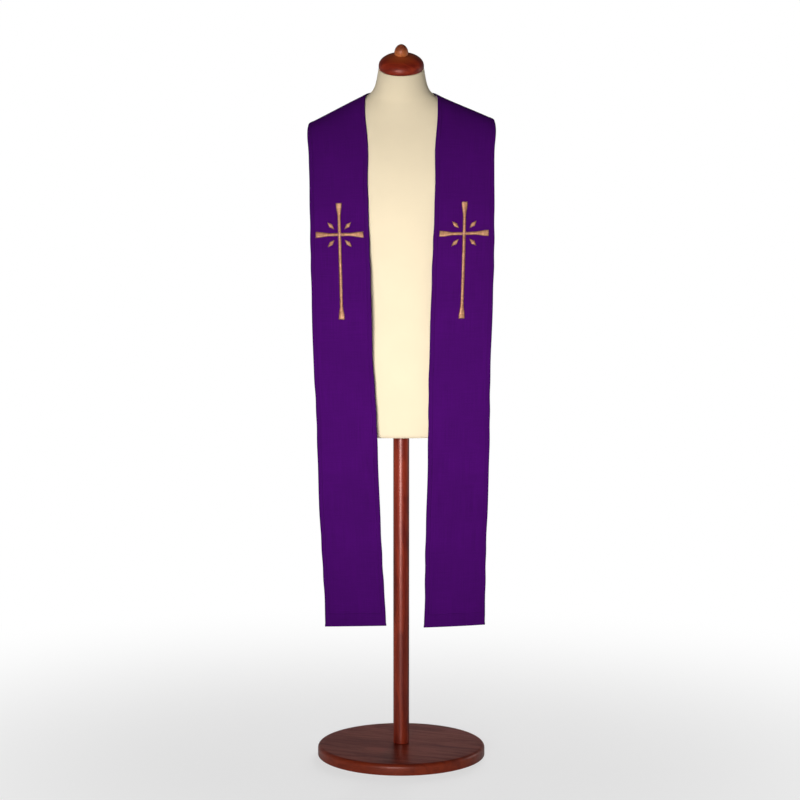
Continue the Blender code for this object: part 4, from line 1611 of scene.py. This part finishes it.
# %% Seams of the cover
LIP_PROFILE = (
    # across the seam, height
    (-0.0024, -0.0004), (-0.0017, 0.00025), (-0.0010, 0.00035), (-0.0003, 0.0000),
    (0.0003, 0.0000), (0.0010, 0.00035), (0.0017, 0.00025), (0.0024, -0.0004),
)
COVER_SEAMS = (
    # name, column of the torso's points
    ("left_side", 0), ("centre_back", FORM_QUARTER), ("right_side", 2 * FORM_QUARTER),
)


def make_seam(rings, column):
    """Sweep the two-lipped profile down one column of the torso's points."""
    path = rings[:, column]
    beside = unit(rings[:, (column + 1) % rings.shape[1]] - rings[:, column - 1])
    out = unit(np.cross(beside, np.gradient(path, axis=0)))
    centre = np.array([ring.mean(0) for ring in rings])
    out *= np.sign(((path - centre) * out).sum(1))[:, None]
    shape = bmesh.new()
    loops = add_rows(shape, (
        [p + b * across + o * height for across, height in LIP_PROFILE]
        for p, b, o in zip(path, beside, out)))
    skin(shape, loops)
    shape.faces.new(loops[0])
    shape.faces.new(loops[-1])
    return shape


seams = [
    finish_piece(f"cover_seam_{name}", make_seam(torso_rings[1:-1], column), cream_cover)
    for name, column in COVER_SEAMS]

# %% [markdown]
# ## Turned wood
#
# A lathe makes anything that is round about one line: a profile spun about an axis. The cap and the
# knob share one profile, a dome that turns in a little under its widest line. A fullness of 2 makes
# the dome an ellipse, more makes it boxier and less more pointed. A formula gives as many points as
# the light asks for, where a short list of radii would leave flats. Both pieces are then tipped
# forward with the neck.

# %% Profile of a dome
UNDERCUT_STEPS = 6
DOME_STEPS = 34


def dome_profile(foot, radius, widest_at, rise, fullness, seat):
    """From the foot out to the widest line, then up and in to the radius of the flat seat."""
    undercut = np.linspace(0.0, math.pi / 2.0, UNDERCUT_STEPS, endpoint=False)
    dome = np.linspace(0.0, math.acos((seat / radius) ** (fullness / 2.0)), DOME_STEPS)
    out = np.concatenate((
        foot + (radius - foot) * np.sin(undercut),
        radius * np.cos(dome) ** (2.0 / fullness)))
    height = np.concatenate((
        widest_at * (1.0 - np.cos(undercut)),
        widest_at + rise * np.sin(dome) ** (2.0 / fullness)))
    return list(zip(out, height))


# %% Spin a profile
TURNING_SIDES = 96
SHARP_ANGLE = math.radians(38.0)


def make_turned(name, profile, material, wear_and_painted_light, tilt=0.0, foot=(0.0, 0.0, 0.0)):
    """Spin a profile about +Z, close both ends, then tip it about X and set it on its foot.

    The mask function gives, from 0 to 1, a third shade: real wear on the base, painted light on cap
    and knob.
    """
    outline = [(0.0, profile[0][1]), *profile]
    if profile[-1][0] > WELD:
        outline.append((0.0, profile[-1][1]))
    shape = bmesh.new()
    chain = [shape.verts.new((max(radius, 0.0), 0.0, height)) for radius, height in outline]
    edges = [shape.edges.new(pair) for pair in zip(chain, chain[1:])]
    bmesh.ops.spin(
        shape, geom=chain + edges, cent=(0.0, 0.0, 0.0), axis=(0.0, 0.0, 1.0),
        angle=2.0 * math.pi, steps=TURNING_SIDES, use_merge=True)
    bmesh.ops.remove_doubles(shape, verts=shape.verts, dist=WELD)
    wear_and_light_layer = shape.verts.layers.float.new("wear_and_painted_light")
    for vert in shape.verts:
        x, y, z = vert.co
        vert[wear_and_light_layer] = float(wear_and_painted_light(math.hypot(x, y), z))
        vert.co = (x + foot[0],
                   y * math.cos(tilt) - z * math.sin(tilt) + foot[1],
                   y * math.sin(tilt) + z * math.cos(tilt) + foot[2])
    piece = finish_piece(name, shape, material)
    piece.data.set_sharp_from_angle(angle=SHARP_ANGLE)
    return piece


# %% The cap and the knob
PIECE_GAP = 0.0003
CAP_DOME = {
    "foot": 0.0508, "radius": 0.0528, "widest_at": 0.0050,
    "rise": 0.0280, "fullness": 2.20, "seat": 0.0175,
}
KNOB_DOME = {
    "foot": 0.0148, "radius": 0.0163, "widest_at": 0.0052,
    "rise": 0.0204, "fullness": 1.90, "seat": 0.0,
}
# Painted light: the cap is painted paler round the knob's seat, and the knob paler low down, where
# light falls.
CAP_PAINTED_LIGHT_OUT_TO = (0.018, 0.046)
KNOB_PAINTED_LIGHT_UP_TO = (0.004, 0.0225)
neck_height, _, _, _, neck_y, neck_degrees, _ = FORM_SECTIONS[0]
neck_tilt = math.radians(neck_degrees)
neck_axis = np.array((0.0, -math.sin(neck_tilt), math.cos(neck_tilt)))
neck_top = np.array((0.0, neck_y, neck_height))
cap_profile = dome_profile(**CAP_DOME)
cap_top = cap_profile[-1][1]
cap = make_turned(
    "turned_cap", cap_profile, cap_mahogany,
    lambda radius, height: 1.0 - smooth_step(radius, *CAP_PAINTED_LIGHT_OUT_TO),
    neck_tilt, neck_top + neck_axis * PIECE_GAP)
knob = make_turned(
    "turned_knob", dome_profile(**KNOB_DOME), knob_mahogany,
    lambda radius, height: 1.0 - smooth_step(height, *KNOB_PAINTED_LIGHT_UP_TO),
    neck_tilt, neck_top + neck_axis * (cap_top + 2.0 * PIECE_GAP))
print("cap and knob tipped", round(neck_degrees), "degrees")

# %% [markdown]
# The pole and the base follow the same way. Sharp corners are broken by a small radius, as a maker
# does with sandpaper, and the base keeps its larger round along the upper edge.

# %% The pole and the base
POLE_RADIUS = 0.0190
POLE_RINGS = 12
POLE_RINGS_FROM = 0.02
BASE_RADIUS = 0.2000
BASE_THICKNESS = 0.0260
BASE_EDGE = 0.0090
BASE_EDGE_STEPS = 12
BASE_TOP_RINGS = (0.16, 0.12, 0.08, 0.04)
EDGE_RUBBED = 0.30
CORNER = 0.0015
CORNER_STEPS = 4
RIGHT_ANGLE = math.pi / 2.0


def arc(centre_radius, centre_height, radius, start, end, count):
    """Points of an arc in the (radius, height) plane, its angles measured up from outward."""
    return [(centre_radius + radius * math.cos(turn), centre_height + radius * math.sin(turn))
            for turn in np.linspace(start, end, count + 1)]


pole_low = BASE_THICKNESS + PIECE_GAP
pole_high = FORM_SECTIONS[-1][0] - PIECE_GAP
pole_heights = np.linspace(pole_low + POLE_RINGS_FROM, pole_high - POLE_RINGS_FROM, POLE_RINGS)
pole_profile = [
    *arc(POLE_RADIUS - CORNER, pole_low + CORNER, CORNER, -RIGHT_ANGLE, 0.0, CORNER_STEPS),
    *[(POLE_RADIUS, height) for height in pole_heights],
    *arc(POLE_RADIUS - CORNER, pole_high - CORNER, CORNER, 0.0, RIGHT_ANGLE, CORNER_STEPS),
]
base_profile = [
    *arc(BASE_RADIUS - CORNER, CORNER, CORNER, -RIGHT_ANGLE, 0.0, CORNER_STEPS),
    *arc(BASE_RADIUS - BASE_EDGE, BASE_THICKNESS - BASE_EDGE, BASE_EDGE, 0.0, RIGHT_ANGLE,
         BASE_EDGE_STEPS),
    *[(radius, BASE_THICKNESS) for radius in BASE_TOP_RINGS],
]
pole = make_turned("turned_pole", pole_profile, upright_mahogany, lambda radius, height: 0.0)
base = make_turned(
    "turned_base", base_profile, across_mahogany,
    lambda radius, height: EDGE_RUBBED * smooth_step(radius, BASE_RADIUS - BASE_EDGE, BASE_RADIUS))
print("pole from", round(pole_low, 4), "to", round(pole_high, 4))

# %% [markdown]
# ## Tell the frame what stands for what
#
# Nothing here moves, so every piece rides on the one body. Each finer piece stands for its solid,
# which is hidden. The length each strip was cut to is worked out across its width.

# %% Ride and replace
CUT_SAMPLES = 41


def stands_for(piece, node):
    """Ride on the root, and take over a solid's place by hiding it."""
    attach(piece, "root")
    if node:
        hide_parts(node)


stands_for(torso, "form_torso")
for seam_piece in seams:
    stands_for(seam_piece, None)
stands_for(cap, "neck_cap")
stands_for(knob, "cap_knob")
stands_for(pole, "stand_pole")
stands_for(base, "stand_base")
for band in BANDS:
    strip = strips[band.name]
    stands_for(strip, f"stole_{band.name}_band")
    stands_for(satin[band.name], f"cross_{band.name}")
    sewn_on = [satin[band.name], underlay[band.name], cords[band.name], couching[band.name]]
    for piece in sewn_on[1:]:
        stands_for(piece, None)
    sewing = [hem_stitches[band.name]] + ([back_stitches] if band is BANDS[0] else [])
    for piece in sewing:
        stands_for(piece, None)
    across = np.linspace(-0.5, 0.5, CUT_SAMPLES) * BAND_WIDTH
    lengths = band.hem(across, 0.0 * across) - band.seam(across, 0.0 * across)

# %% [markdown]
# ## Floor and light
#
# The floor is a plain pale round, pure white further out, so that it has no visible edge. Light comes
# mostly from one broad soft lamp near the camera at chest height. That is what makes the shoulders
# fall darker than the front. The side lamps stand a little behind the form, so that the neck's flanks
# stay dark too, and a last lamp lights the back.

# %% The floor
WHITE = (1.0, 1.0, 1.0, 1.0)
SKY_SEEN = 1.0
SKY_LIGHT = 0.20
FLOOR_RADIUS = 30.0
FLOOR_SIDES = 64
FLOOR_GREY = (0.86, 0.86, 0.86)
WHITE_NEAR = 0.62
WHITENS = (0.3, 2.0)


def make_floor():
    """A large round of floor, pale near the base and white further out."""
    shape = bmesh.new()
    bmesh.ops.create_circle(shape, cap_ends=True, radius=FLOOR_RADIUS, segments=FLOOR_SIDES)
    material, tree, shader = start_material("pale_floor", Roughness=0.8, Specular_IOR_Level=0.1)
    place = add_node(tree, "ShaderNodeTexCoord").outputs["Object"]
    away = add_node(tree, "ShaderNodeVectorMath", {"operation": "LENGTH"}, i0=place).outputs[1]
    speckle = use_group(tree, mottle_effect, Vector=place, Scale=3.0, Spread=0.02)
    plug(tree, tinted(tree, FLOOR_GREY, speckle), shader.inputs["Base Color"])
    seen = add_node(tree, "ShaderNodeLightPath").outputs["Is Camera Ray"]
    glow = add_node(
        tree, "ShaderNodeMapRange", Value=seen, To_Min=SKY_LIGHT, To_Max=SKY_SEEN)
    white = add_node(tree, "ShaderNodeEmission", Color=WHITE, Strength=glow)
    share = remap(tree, away, *WHITENS, WHITE_NEAR, 1.0)
    blend = add_node(tree, "ShaderNodeMixShader", i0=share, i1=shader, i2=white)
    plug(tree, blend, tree.nodes["Material Output"].inputs["Surface"])
    return finish_piece("floor", shape, material)


make_floor()
print("floor:", FLOOR_RADIUS, "m out from the base")

# %% Lamps and sky
LAMPS = (
    # name, place, looks at, size, spread in degrees, power, seen in gloss
    ("key", (-0.60, -3.35, 0.84), (0.15, 0.0, 0.92), 1.2, 43.0, 10.4, True),
    ("right side", (-3.4, 1.4, 1.2), (0.0, 0.0, 1.1), 1.6, 180.0, 16.0, False),
    ("left side", (3.4, 1.4, 1.2), (0.0, 0.0, 1.1), 1.6, 180.0, 12.0, True),
    ("behind", (0.6, 4.0, 1.3), (0.0, 0.0, 1.1), 1.6, 120.0, 70.0, False),
)
ZENITH_LIGHT = 0.03
DIM_FROM = 0.8


def place_lamp(name, place, target, size, spread, power, glossy):
    """A square soft lamp that looks at a point. One that would glare stays out of reflections."""
    lamp = link(bpy.data.objects.new(name, bpy.data.lights.new(name, "AREA")))
    lamp.data.size = size
    lamp.data.spread = math.radians(spread)
    lamp.data.energy = power
    lamp.location = place
    lamp.rotation_euler = (Vector(target) - Vector(place)).to_track_quat("-Z", "Y").to_euler()
    lamp.visible_camera = False
    lamp.visible_glossy = glossy
    return lamp


def make_sky():
    """White where it is seen. As light it is even at eye level and dim overhead."""
    world = bpy.data.worlds.new("studio")
    world.use_nodes = True
    tree = world.node_tree
    direction = add_node(tree, "ShaderNodeTexCoord").outputs["Generated"]
    upward = add_node(tree, "ShaderNodeSeparateXYZ", Vector=direction).outputs[2]
    light = remap(tree, upward, 0.0, DIM_FROM, SKY_LIGHT, ZENITH_LIGHT)
    seen = add_node(tree, "ShaderNodeLightPath").outputs["Is Camera Ray"]
    strength = add_node(tree, "ShaderNodeMapRange", Value=seen,
                        To_Min=light, To_Max=SKY_SEEN)
    background = tree.nodes["Background"]
    plug(tree, WHITE, background.inputs["Color"])
    plug(tree, strength, background.inputs["Strength"])
    bpy.context.scene.world = world


for row in LAMPS:
    place_lamp(*row)
make_sky()
print("lamps:", len(LAMPS))
